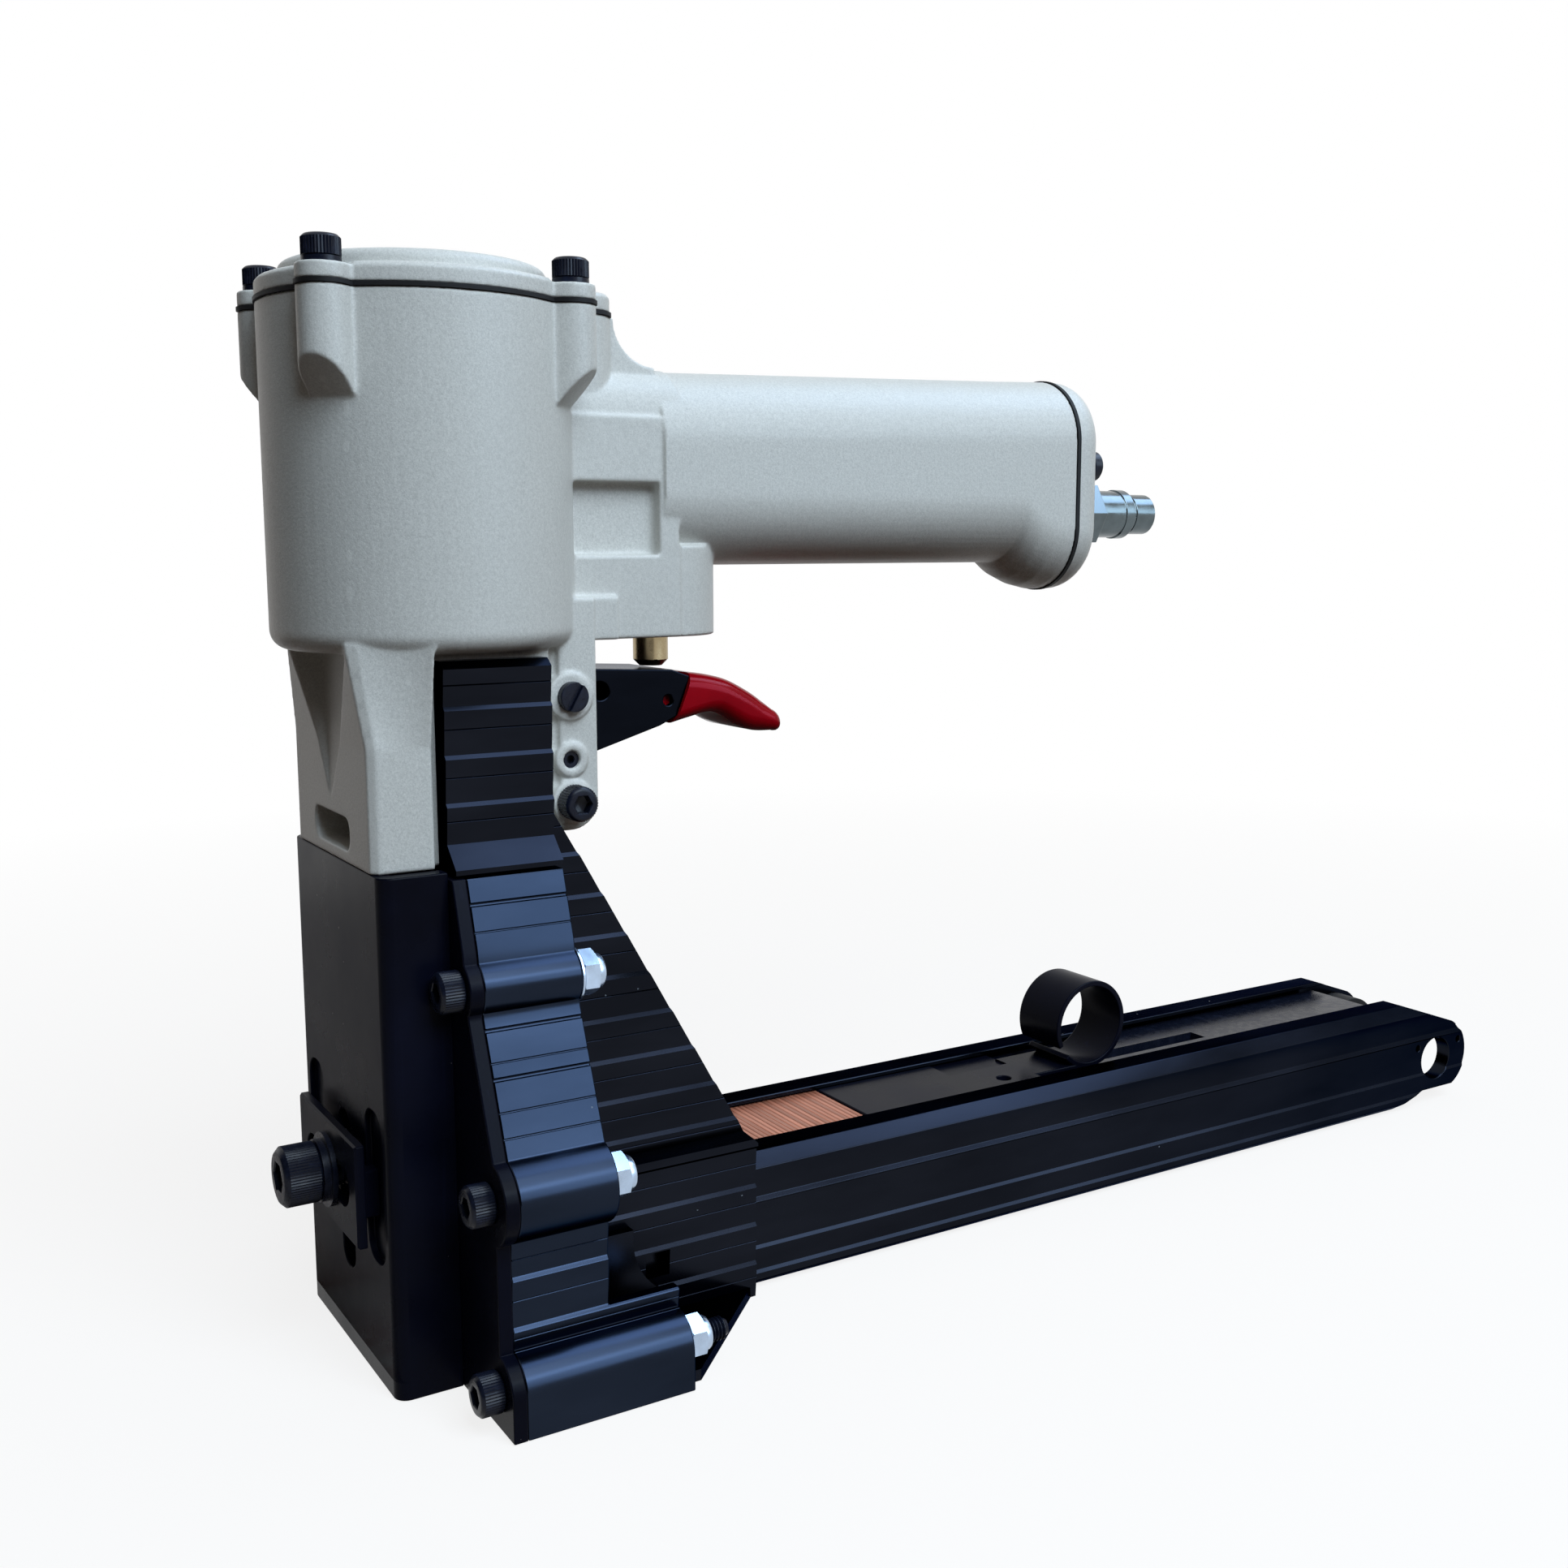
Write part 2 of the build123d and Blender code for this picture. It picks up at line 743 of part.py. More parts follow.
# Wing plate: ribbed clamp, web and tongue, sole flange and the block for the arm's pin
with BuildPart() as wing_plate_right:
    web_ribs = [web_rib_first + web_rib_pitch * step for step in range(web_rib_count)]
    section = [(wing_inner, 0)]
    section += board_edge(wing_outer, (0,) + clamp_rib_tops)
    section += [(ridge_outer, clamp_rib_tops[-1] + 0.8), (ridge_outer, clamp_rib_tops[-1] + 2.6)]
    section += board_edge(web_outer, [clamp_rib_tops[-1] + 4.0] + web_ribs + [web_top])
    section += [(web_inner, web_top), (web_inner, web_low), (wing_inner, web_low)]
    with BuildSketch(face_x(housing_front)):
        with BuildLine():
            Polyline(*section, close=True)
        make_face()
    extrude(amount=wing_length)
    slant = [slant_top, slant_bend, slant_low, (wing_rear, clamp_top)]
    slant += [(wing_rear + 10, clamp_top), (wing_rear + 10, web_top + 1), (slant_top[0], web_top + 1)]
    with BuildSketch(face_y(0)):
        with BuildLine():
            Polyline(*side_view(slant), close=True)
        make_face()
    extrude(amount=-foot_half, mode=Mode.SUBTRACT)
    block((housing_front, pivot_block_front), (0, foot_half), (0, web_low), Mode.SUBTRACT)
    tongue = [(web_inner, roof_low), (crown_half, roof_low), (crown_half, roof_edge)]
    tongue += board_edge(tongue_outer, (tongue_low,) + tongue_rib_tops)
    tongue += [(tongue_outer - 2, tongue_top), (web_inner, tongue_top)]
    with BuildSketch(face_x(tongue_front)):
        with BuildLine():
            Polyline(*tongue, close=True)
        make_face()
    extrude(amount=housing_rear - tongue_front)
    with BuildSketch():
        with BuildLine():
            Polyline(
                (at(housing_front), wing_inner),
                (at(wing_rear), wing_inner),
                (at(wing_rear), wing_outer - 2),
                (at(flange_cut_front), flange_half),
                (at(housing_front), flange_half),
                close=True,
            )
        make_face()
    extrude(amount=flange_thick)
    slot_reach = pivot_half + arm_outer + arm_room
    block(
        (arm_front - arm_room, arm_rear + arm_room),
        (wing_inner - 1, slot_reach),
        (-1, flange_thick + 1),
        Mode.SUBTRACT,
    )
    block(
        (pivot_block_front, housing_rear - 1),
        (wing_inner, wing_inner + pivot_block_width),
        (0, pivot_block_height),
    )
    rod_x((housing_front, housing_rear), pivot_half, pivot_level, pin_width / 2 + thread_gap, Mode.SUBTRACT)
    block(
        (window_front, window_front + window_side),
        (wing_inner - 1, wing_outer + 1),
        (window_low, window_low + window_side),
        Mode.SUBTRACT,
    )
    with BuildSketch(face_y(wing_outer - 1)):
        with BuildLine():
            land_bottom = Line((at(housing_rear), land_low), (at(land_low_rear), land_low))
            land_top = Line((at(housing_rear), land_high), (at(land_top_rear), land_high))
            Line(land_bottom @ 0, land_top @ 0)
            RadiusArc(land_bottom @ 1, land_top @ 1, land_high - land_low)
        make_face()
    extrude(amount=-land_thick - 1)

with BuildPart() as wing_plate_left:
    mirror(wing_plate_right.part, about=Plane.XZ)

# Clincher cover: hollow outer shell with bolt bosses and a long foot
with BuildPart() as clincher_cover_right:
    with BuildSketch(face_x(housing_front)):
        housing_face(cover_inner, 1)
        for levels, radius in ((cover_grooves, cover_groove_radius), (cover_scores, cover_score_radius)):
            with Locations(*[(outline_half(level), level) for level in levels]):
                Circle(radius, mode=Mode.SUBTRACT)
        boards = board_edge(waist_half, (waist_low,) + waist_rib_tops + (waist_board_top,))
        boards += [(foot_half, waist_board_top), (foot_half, waist_low)]
        Polygon(*boards, align=None, mode=Mode.SUBTRACT)
    extrude(amount=foot_length)
    hollow = [(y - cover_wall, z) for y, z in outline[:-1]]
    hollow_top = housing_top - cover_wall
    hollow = [(0, -1), (foot_half - cover_wall, -1)] + hollow
    hollow += [(outline_half(hollow_top) - cover_wall, hollow_top), (0, hollow_top)]
    with BuildSketch(face_x(housing_front)):
        with BuildLine():
            Polyline(*hollow, close=True)
        make_face()
        for (y, z), radius in zip(bolt_spots, boss_radii):
            with Locations((y, z)):
                Circle(radius, mode=Mode.SUBTRACT)
    extrude(amount=foot_length, mode=Mode.SUBTRACT)
    block((housing_rear, foot_rear + 1), (0, foot_half), (foot_height, housing_top + 1), Mode.SUBTRACT)
    block((0, foot_rear + 1), (0, cover_inner), (-1, housing_top + 1), Mode.SUBTRACT)
    block((0, foot_rear + 1), (0, flange_half + slide_gap), (-1, flange_thick + seat_gap), Mode.SUBTRACT)
    rod_x((0, pivot_block_front), pivot_half, pivot_level, arm_outer + arm_room, Mode.SUBTRACT)
    for y, z in bolt_spots:
        rod_x((0, foot_rear + 1), y, z, bolt_hole / 2, Mode.SUBTRACT)

with BuildPart() as clincher_cover_left:
    mirror(clincher_cover_right.part, about=Plane.XZ)

# Housing bolts with their nuts and washers
nut_faces = (housing_rear, housing_rear, foot_rear)
bolt_nut = lock_nut(bolt_thread, nut_size, nut_height, nut_collar_height)
bolt_washer = washer(bolt_thread + 2 * slide_gap, bolt_washer_width, bolt_washer_thick)
bolt_screws = [
    socket_screw(
        bolt_thread,
        face + bolt_washer_thick + nut_height + nut_collar_height + tip - nose_depth,
        bolt_head_width,
        bolt_head_height,
    )
    for face, tip in zip(nut_faces, bolt_tips)
]

with BuildPart() as housing_bolts:
    for (y, z), screw in zip(bolt_spots, bolt_screws):
        with Locations(bolt_plane(nose_depth, y, z), bolt_plane(nose_depth, -y, z)):
            add(screw)

with BuildPart() as housing_washers:
    for (y, z), face in zip(bolt_spots, nut_faces):
        with Locations(nut_plane(face, y, z), nut_plane(face, -y, z)):
            add(bolt_washer)

with BuildPart() as housing_nuts:
    for (y, z), face in zip(bolt_spots, nut_faces):
        seat = face + bolt_washer_thick
        with Locations(nut_plane(seat, y, z), nut_plane(seat, -y, z)):
            add(bolt_nut)

# Clincher arm: claw on a hub that turns on a pin
with BuildPart() as clincher_arm_right:
    centre = (pivot_half, pivot_level)
    arm_end = arm_tip_angle + arm_sweep
    arm_back = arm_tip_angle + arm_taper
    with BuildSketch(face_x(arm_front)):
        with BuildLine():
            outer_arc = CenterArc(centre, arm_outer, arm_tip_angle, arm_sweep)
            inner_arc = CenterArc(centre, arm_inner, arm_back, arm_sweep - arm_taper)
            Line(outer_arc @ 0, inner_arc @ 0)
            Line(outer_arc @ 1, inner_arc @ 1)
        make_face()
        with BuildLine():
            spoke = (arm_inner + arm_outer) / 2
            corners = [
                (pivot_half + spoke * cos(radians(angle)), pivot_level + spoke * sin(radians(angle)))
                for angle in (arm_end, arm_back + arm_taper)
            ]
            Polyline(centre, *corners, close=True)
        make_face()
    extrude(amount=arm_thick)
    rod_x((housing_front + slide_gap, pivot_block_front - slide_gap), *centre, arm_hub)
    rod_x((housing_front, pivot_block_front), *centre, pin_width / 2 + run_gap, Mode.SUBTRACT)

with BuildPart() as clincher_arm_left:
    mirror(clincher_arm_right.part, about=Plane.XZ)

with BuildPart() as clincher_pins:
    for side in (1, -1):
        rod_x((nose_depth + seat_gap, housing_rear - 2), side * pivot_half, pivot_level, pin_width / 2)

# Cast body: barrel, neck, ears, web, valve housing and hollow handle
with BuildPart() as body_casting:
    rod_z(barrel_u, 0, (barrel_low, barrel_top), barrel_radius)
    fillet(body_casting.edges().group_by(Axis.Z)[0], barrel_round)
    add(head_face(lug_low, 0))
    extrude(amount=barrel_top - lug_low)
    lug_rim = barrel_u + lug_circle + lug_radius
    lug_clear = barrel_u + 2 * barrel_radius
    lug_under = [
        (barrel_u + barrel_radius, lug_low),
        (lug_rim, lug_outer_low),
        (lug_clear, lug_outer_low),
        (lug_clear, lug_low - 1),
        (barrel_u + barrel_radius, lug_low - 1),
    ]
    with BuildSketch(face_y(0)):
        with BuildLine():
            Polyline(*side_view(lug_under), close=True)
        make_face()
    revolve(axis=Axis((at(barrel_u), 0, 0), (0, 0, 1)), mode=Mode.SUBTRACT)
    with BuildSketch(Plane((at((barrel_u + head_rear) / 2), 0, head_rear_low))):
        RectangleRounded(head_rear - barrel_u, 2 * head_rear_half, head_corner)
    extrude(amount=barrel_top - head_rear_low)

    # Neck that flares up to the barrel, with a front pocket that tapers to a point and a window
    low_side = [(0, neck_half - neck_bevel), (neck_bevel, neck_half), (core_front, neck_half)]
    high_side = [neck_flare_edge, neck_flare_corner, (core_front, neck_flare_half)]
    low_ring = low_side + [(u, -y) for u, y in reversed(low_side)]
    high_ring = high_side + [(u, -y) for u, y in reversed(high_side)]
    with BuildSketch(Plane.XY.offset(nose_height)):
        Polygon(*[(at(u), y) for u, y in low_ring], align=None)
    extrude(amount=neck_flare_low - nose_height)
    for level, ring in ((neck_flare_low, low_ring), (neck_flare_high, high_ring)):
        with BuildSketch(Plane.XY.offset(level)):
            Polygon(*[(at(u), y) for u, y in ring], align=None)
    loft(ruled=True)
    pocket_reach = [floor + pocket_spread * (rim - floor) for rim, floor in zip(pocket_rim, pocket_floor)]
    pocket_side = [pocket_floor, pocket_reach]
    pocket_mouth = pocket_side + [(u, -y) for u, y in reversed(pocket_side)]
    mouth_edge = Wire.make_polygon([(at(u), y, barrel_low) for u, y in pocket_mouth])
    pocket = Solid.make_loft([Vertex(at(0), 0, pocket_apex), mouth_edge], ruled=True)
    add(pocket, mode=Mode.SUBTRACT)
    with BuildSketch(face_x(0)):
        with Locations((0, neck_window_level)):
            RectangleRounded(neck_window_width, neck_window_height, neck_window_round)
    extrude(amount=neck_window_depth, mode=Mode.SUBTRACT)
    block((core_front, core_rear), (-core_half, core_half), (nose_height, barrel_low + barrel_floor / 2))

    # Web, valve housing and handle
    block((barrel_u, valve_u), (-web_half, web_half), (valve_housing_low, web_ledge))
    with BuildSketch(face_x(barrel_u)):
        with Locations((0, web_spine_top - web_spine_height / 2)):
            RectangleRounded(2 * web_spine_half, web_spine_height, web_spine_round)
    extrude(amount=handle_front + 5 - barrel_u)
    fillet_u = head_rear + web_fillet
    fillet_z = web_spine_top + web_fillet
    fillet_y = (-web_fillet_half, web_fillet_half)
    block((head_rear - head_corner, fillet_u), fillet_y, (web_ledge, barrel_top))
    rod_y(fillet_u, fillet_y, fillet_z, web_fillet, Mode.SUBTRACT)
    rod_z(valve_u, 0, (valve_housing_low, handle_low + handle_wall), valve_housing_radius)
    sections = [(handle_front, handle_low, handle_top_front)]
    for run, drop in flare_steps:
        low = handle_low - drop * (handle_low - flare_low)
        high = handle_top_rear - flare_rise * (1 - run)
        sections.append((flare_front + run * (handle_rear - flare_front), low, high))
    for u, low, high in sections:
        with BuildSketch(face_x(u)):
            handle_slot(low, high, 0)
    loft(ruled=True)
    for y_span in both_sides(web_half - side_pocket_depth, web_half + 1):
        block(side_pocket_u, y_span, side_pocket_z, Mode.SUBTRACT)

    # Ears that carry the trigger
    for y_span in both_sides(ear_inner, ear_outer):
        block((core_rear - 2, ear_rear), y_span, (ear_bolt_level, ear_top))
        rod_y(ear_rear - ear_bolt_radius, y_span, ear_bolt_level, ear_bolt_radius)
        ear_low = ear_bolt_level - ear_bolt_radius
        block((core_rear - 2, ear_rear - ear_bolt_radius), y_span, (ear_low, ear_top))
    for y_span in both_sides(ear_inner, ear_shelf_half):
        block((core_rear, ear_shelf_rear), y_span, (valve_housing_low, ear_top))
    for y_span in both_sides(ear_outer - ear_step_depth, ear_outer + 1):
        block((core_rear, ear_step_u), y_span, (ear_low, barrel_low), Mode.SUBTRACT)
    for y_span in both_sides(ear_inner, ear_outer + ear_pad):
        rod_y(pivot_u, y_span, trigger_level, pivot_pad)
        rod_y(pivot_u, y_span, ear_bolt_level, ear_bolt_pad)
        rod_y(pivot_u, y_span, set_screw_level, set_screw_pad)

    # Hollows: chamber, handle, air way, valve bore and driver slot
    rod_z(barrel_u, 0, (chamber_floor, barrel_top + 1), chamber_radius, Mode.SUBTRACT)
    air_way_z = (air_way_low, air_way_high)
    block((barrel_u, handle_front + 8), (-air_way_half, air_way_half), air_way_z, Mode.SUBTRACT)
    with BuildSketch(face_x(handle_front + 4)):
        handle_slot(handle_low, handle_top_front, handle_wall)
    extrude(amount=handle_rear - handle_front, mode=Mode.SUBTRACT)
    end_boss_span = (handle_rear - end_boss_length, handle_rear)
    for y, z in end_screw_spots:
        rod_x(end_boss_span, y, z, end_boss_radius)
        rod_x(end_boss_span, y, z, end_screw_thread / 2 + thread_gap, Mode.SUBTRACT)
    rod_z(valve_u, 0, (valve_housing_low - 1, bush_top + 2), bush_width / 2 + thread_gap, Mode.SUBTRACT)
    slot_span = (driver_front - slide_gap, driver_front + driver_thick + slide_gap)
    wide_half = driver_half + slide_gap
    shank_half = driver_shank_half + slide_gap
    block(slot_span, (-wide_half, wide_half), (nose_height - 1, driver_shoulder + slide_gap), Mode.SUBTRACT)
    block(slot_span, (-shank_half, shank_half), (nose_height, chamber_floor + 1), Mode.SUBTRACT)

    # Holes for the head's screws and for the screws in the ears
    with BuildSketch(head_plane(barrel_top)):
        lug_discs(cap_thread / 2 + thread_gap)
    extrude(amount=-cap_screw_depth, mode=Mode.SUBTRACT)
    ear_span = (-ear_outer - 1, ear_outer + 1)
    rod_y(pivot_u, ear_span, trigger_level, pivot_width / 2 + thread_gap, Mode.SUBTRACT)
    rod_y(pivot_u, ear_span, ear_bolt_level, bolt_thread / 2 + thread_gap, Mode.SUBTRACT)
    rod_y(pivot_u, ear_span, set_screw_level, set_screw_width / 2 + thread_gap, Mode.SUBTRACT)

# Head of the barrel: gasket, cap, screws and split washers
head_hole = cap_thread + 2 * slide_gap
with BuildPart() as cap_gasket:
    add(head_face(barrel_top, gasket_proud))
    extrude(amount=gasket_thick)
    with BuildSketch(head_plane(barrel_top)):
        Circle(chamber_radius)
        lug_discs(head_hole / 2)
    extrude(amount=gasket_thick, mode=Mode.SUBTRACT)

with BuildPart() as top_cap:
    add(head_face(gasket_top, 0))
    extrude(amount=cap_thick)
    chamfer(top_cap.edges().group_by(Axis.Z)[-1], cap_edge)
    rod_z(barrel_u, 0, (cap_top, cap_plateau_top), cap_plateau_radius)
    fillet(top_cap.edges().group_by(Axis.Z)[-1], cap_plateau_round)
    rod_z(barrel_u, 0, (cap_plateau_top, cap_plateau_top + cap_disc_height), cap_disc_radius)
    chamfer(top_cap.edges().group_by(Axis.Z)[-1], cap_disc_height / 2)
    rod_z(barrel_u, 0, (gasket_top, cap_roof), cap_hollow_radius, Mode.SUBTRACT)
    rod_z(barrel_u, 0, (head_guide_low, cap_roof + 1), head_guide_radius)
    rod_z(barrel_u, 0, (head_guide_low, cap_roof), head_stem_radius + run_gap, Mode.SUBTRACT)
    with BuildSketch(head_plane(gasket_top)):
        lug_discs(head_hole / 2)
    extrude(amount=cap_plateau_top - gasket_top, mode=Mode.SUBTRACT)
    with BuildSketch(head_plane(cap_seat)):
        lug_discs(lug_radius + cap_edge)
    extrude(amount=cap_plateau_top - cap_seat, mode=Mode.SUBTRACT)

lug_spots = [
    Location((at(barrel_u + a * lug_u), b * lug_y, cap_seat)) for a in (1, -1) for b in (1, -1)
]
cap_split = spring_washer(head_hole, cap_head_width, cap_washer_thick)
cap_grip = cap_washer_thick + cap_seat - barrel_top
cap_screw = socket_screw(
    cap_thread, cap_grip + cap_screw_depth - cap_screw_spare, cap_head_width, cap_head_height
)

with BuildPart() as cap_washers:
    with Locations(*lug_spots):
        add(cap_split)

with BuildPart() as cap_screws:
    with Locations(*[spot * Location((0, 0, cap_washer_thick)) for spot in lug_spots]):
        add(cap_screw)

# Cylinder liner, bumper, piston with its seal, and the driver blade
with BuildPart() as cylinder_liner:
    rod_z(barrel_u, 0, (chamber_floor, liner_top), bore_radius + liner_wall)
    rod_z(barrel_u, 0, (chamber_floor, liner_top), bore_radius, Mode.SUBTRACT)

with BuildPart() as bumper:
    rod_z(barrel_u, 0, (chamber_floor, chamber_floor + bumper_height), bore_radius - seat_gap)
    block(
        (driver_front - 0.5, driver_front + driver_thick + 0.5),
        (-driver_shank_half - 0.5, driver_shank_half + 0.5),
        (chamber_floor, chamber_floor + bumper_height),
        Mode.SUBTRACT,
    )

seal_low = piston_low + (piston_height - seal_height) / 2
with BuildPart() as piston:
    rod_z(barrel_u, 0, (piston_low, piston_low + piston_height), bore_radius - run_gap)
    rod_z(barrel_u, 0, (seal_low, seal_low + seal_height), bore_radius, Mode.SUBTRACT)
    rod_z(barrel_u, 0, (seal_low, seal_low + seal_height), bore_radius - seal_depth)
    block(
        (driver_front, driver_front + driver_thick),
        (-driver_shank_half, driver_shank_half),
        (piston_low, piston_low + driver_seat),
        Mode.SUBTRACT,
    )

with BuildPart() as piston_seal:
    rod_z(barrel_u, 0, (seal_low, seal_low + seal_height), bore_radius - run_gap / 2)
    rod_z(barrel_u, 0, (seal_low, seal_low + seal_height), bore_radius - seal_depth + run_gap, Mode.SUBTRACT)

with BuildPart() as driver_blade:
    driver_span = (driver_front, driver_front + driver_thick)
    block(driver_span, (-driver_half, driver_half), (driver_low, driver_shoulder))
    block(driver_span, (-driver_shank_half, driver_shank_half), (driver_shoulder, piston_low + driver_seat))

# Head valve that lifts off the liner, with its spring
with BuildPart() as head_valve:
    rod_z(barrel_u, 0, (liner_top, head_valve_top), head_valve_radius)
    rod_z(barrel_u, 0, (head_valve_top, cap_roof - head_valve_lift - head_valve_slack), head_stem_radius)

head_coil = coil_spring(
    head_spring_radius, head_spring_wire, head_spring_turns, barrel_u, (head_valve_top, cap_roof)
)
with BuildPart() as head_valve_spring:
    add(head_coil)

# Handle end: gasket, cap and screws
with BuildPart() as end_cap_gasket:
    with BuildSketch(face_x(handle_rear)):
        handle_slot(flare_low, handle_top_rear, -end_gasket_proud)
        handle_slot(flare_low, handle_top_rear, handle_wall, Mode.SUBTRACT)
        with Locations(*end_screw_spots):
            Circle(end_boss_radius)
            Circle(end_screw_thread / 2 + slide_gap, mode=Mode.SUBTRACT)
    extrude(amount=end_gasket_thick)

with BuildPart() as handle_end_cap:
    with BuildSketch(face_x(end_cap_front)):
        handle_slot(flare_low, handle_top_rear, 0)
    extrude(amount=end_cap_length)
    fillet(handle_end_cap.faces().sort_by(Axis.X)[-1].edges(), end_cap_round)
    with BuildSketch(face_x(end_cap_front)):
        handle_slot(flare_low, handle_top_rear, handle_wall)
        with Locations(*end_screw_spots):
            Circle(end_boss_radius, mode=Mode.SUBTRACT)
    extrude(amount=end_cap_length - end_cap_wall, mode=Mode.SUBTRACT)
    rod_x((end_cap_front, end_cap_rear), 0, plug_level, plug_thread / 2 + thread_gap, Mode.SUBTRACT)
    end_screw_seat = end_cap_rear - end_screw_seat_depth
    end_screw_room = (end_cap_front - 1, end_cap_rear + 1)
    head_seat = (end_screw_seat, end_cap_rear + 1)
    for y, z in end_screw_spots:
        rod_x(end_screw_room, y, z, end_screw_thread / 2 + slide_gap, Mode.SUBTRACT)
        rod_x(head_seat, y, z, end_screw_head_width / 2 + slide_gap, Mode.SUBTRACT)

end_screw = socket_screw(
    end_screw_thread,
    end_screw_seat - handle_rear + end_screw_depth,
    end_screw_head_width,
    end_screw_head_height,
)
with BuildPart() as end_cap_screws:
    with Locations(*[nut_plane(end_screw_seat, y, z) for y, z in end_screw_spots]):
        add(end_screw)

# Air plug with a hexagon, bead and catch groove
with BuildPart() as air_plug:
    rings = [
        (end_cap_length, plug_thread / 2),
        (plug_hex_length + plug_body_length, plug_body_radius),
        (plug_bead_length, plug_bead_radius),
        (plug_neck_length, plug_neck_radius),
        (plug_tip_length, plug_tip_radius),
    ]
    ring_front = end_cap_front
    for length, radius in rings:
        rod_x((ring_front, ring_front + length), 0, plug_level, radius)
        ring_front += length
    chamfer(air_plug.edges().group_by(Axis.X)[-1], plug_edge)
    with BuildSketch(face_x(end_cap_rear)):
        with Locations((0, plug_level)):
            RegularPolygon(plug_hex / 2, 6, major_radius=False)
    extrude(amount=plug_hex_length)
    rod_x((end_cap_front, plug_end), 0, plug_level, plug_bore / 2, Mode.SUBTRACT)

# Trigger valve: bush, sliding stem and spring
with BuildPart() as valve_bush:
    rod_z(valve_u, 0, (valve_housing_low, bush_top), bush_width / 2)
    rod_z(valve_u, 0, (valve_housing_low, bush_top - bush_roof), stem_width / 2 + run_gap, Mode.SUBTRACT)
    rod_z(valve_u, 0, (bush_top - bush_roof, bush_top), bush_vent / 2, Mode.SUBTRACT)

with BuildPart() as valve_stem:
    rod_z(valve_u, 0, (stem_low, stem_top), stem_width / 2)
    chamfer(valve_stem.edges().group_by(Axis.Z)[0], stem_dome)

stem_coil = coil_spring(
    stem_spring_radius, stem_spring_wire, stem_spring_turns, valve_u, (stem_top, bush_top - bush_roof)
)
with BuildPart() as stem_spring:
    add(stem_coil)

# Trigger lever: bent sheet with a tail that the grip covers
with BuildPart() as trigger:
    with BuildSketch(face_y(0)):
        with BuildLine():
            Polyline(*side_view(trigger_side), close=True)
        make_face()
    extrude(amount=trigger_half, both=True)
    fillet(trigger.edges().filter_by(Axis.Y).group_by(Axis.X)[0], trigger_nose_round)
    with BuildSketch(face_y(0)):
        with BuildLine():
            hollow_side = [
                (trigger_side[0][0] - 10, trigger_side[0][1] - trigger_roof),
                (trigger_side[1][0], trigger_side[1][1] - trigger_roof),
                (trigger_side[2][0] + 10, trigger_side[2][1] - trigger_roof - 4),
                (trigger_side[2][0] + 10, trigger_side[5][1] - 5),
                (trigger_side[0][0] - 10, trigger_side[5][1] - 5),
            ]
            Polyline(*side_view(hollow_side), close=True)
        make_face()
    extrude(amount=trigger_half - trigger_sheet, both=True, mode=Mode.SUBTRACT)
    tail_low = [(u, z - trigger_tail_thick) for u, z in reversed(trigger_tail)]
    with BuildSketch(face_y(0)):
        with BuildLine():
            Polyline(*side_view(list(trigger_tail) + tail_low), close=True)
        make_face()
    extrude(amount=trigger_tail_half, both=True)
    trigger_span = (-trigger_half, trigger_half)
    rod_y(pivot_u, trigger_span, trigger_level, pivot_width / 2 + run_gap, Mode.SUBTRACT)
    rod_y(trigger_hole[0], trigger_span, trigger_hole[1], trigger_hole_width / 2, Mode.SUBTRACT)
    rod_y(trigger_rivet[0], trigger_span, trigger_rivet[1], trigger_rivet_width / 2, Mode.SUBTRACT)

with BuildPart() as trigger_grip:
    with BuildSketch(face_y(0)):
        with BuildLine():
            Polyline(*side_view(grip_top + grip_bottom), close=True)
        make_face()
    extrude(amount=grip_half, both=True)
    long_edges = trigger_grip.edges().filter_by(Axis.Y, reverse=True)
    fillet(long_edges, grip_round)
    for y_low, y_high in both_sides(trigger_half - trigger_sheet, grip_half + 1):
        with BuildSketch(face_y(y_high)):
            with BuildLine():
                Polyline(*side_view(trigger_side), close=True)
            make_face()
        extrude(amount=y_high - y_low, mode=Mode.SUBTRACT)
    add(trigger.part, mode=Mode.SUBTRACT)

# Pivot screw of the trigger, and the screws in the ears
with BuildPart() as trigger_pivot:
    ear_face = ear_outer + ear_pad
    rod_y(pivot_u, (-ear_face, ear_face), trigger_level, pivot_width / 2)
    rod_y(pivot_u, (-ear_face - pivot_head_height, -ear_face), trigger_level, pivot_head_width / 2)
    rod_y(pivot_u, (ear_face, ear_face + pivot_nut_height), trigger_level, pivot_head_width / 2)
    with Locations((at(pivot_u), -ear_face - pivot_head_height, trigger_level)):
        slot_turn = (0, pivot_slot_turn, 0)
        Box(2 * pivot_head_width, pivot_head_height, pivot_slot, rotation=slot_turn, mode=Mode.SUBTRACT)

ear_screw = socket_screw(
    bolt_thread, ear_face - ear_inner, ear_bolt_head_width, ear_bolt_head_height
)
with BuildPart() as ear_bolts:
    for side in (1, -1):
        with Locations(Plane((at(pivot_u), side * ear_face, ear_bolt_level), z_dir=(0, side, 0))):
            add(ear_screw)

with BuildPart() as ear_set_screws:
    for y_span in both_sides(ear_inner, ear_outer - 0.3):
        rod_y(pivot_u, y_span, set_screw_level, set_screw_width / 2)
    for y_span in both_sides(ear_outer - 2, ear_outer):
        with Locations((at(pivot_u), sum(y_span) / 2, set_screw_level)):
            Cylinder(set_screw_width / 4, y_span[1] - y_span[0], rotation=(90, 0, 0), mode=Mode.SUBTRACT)

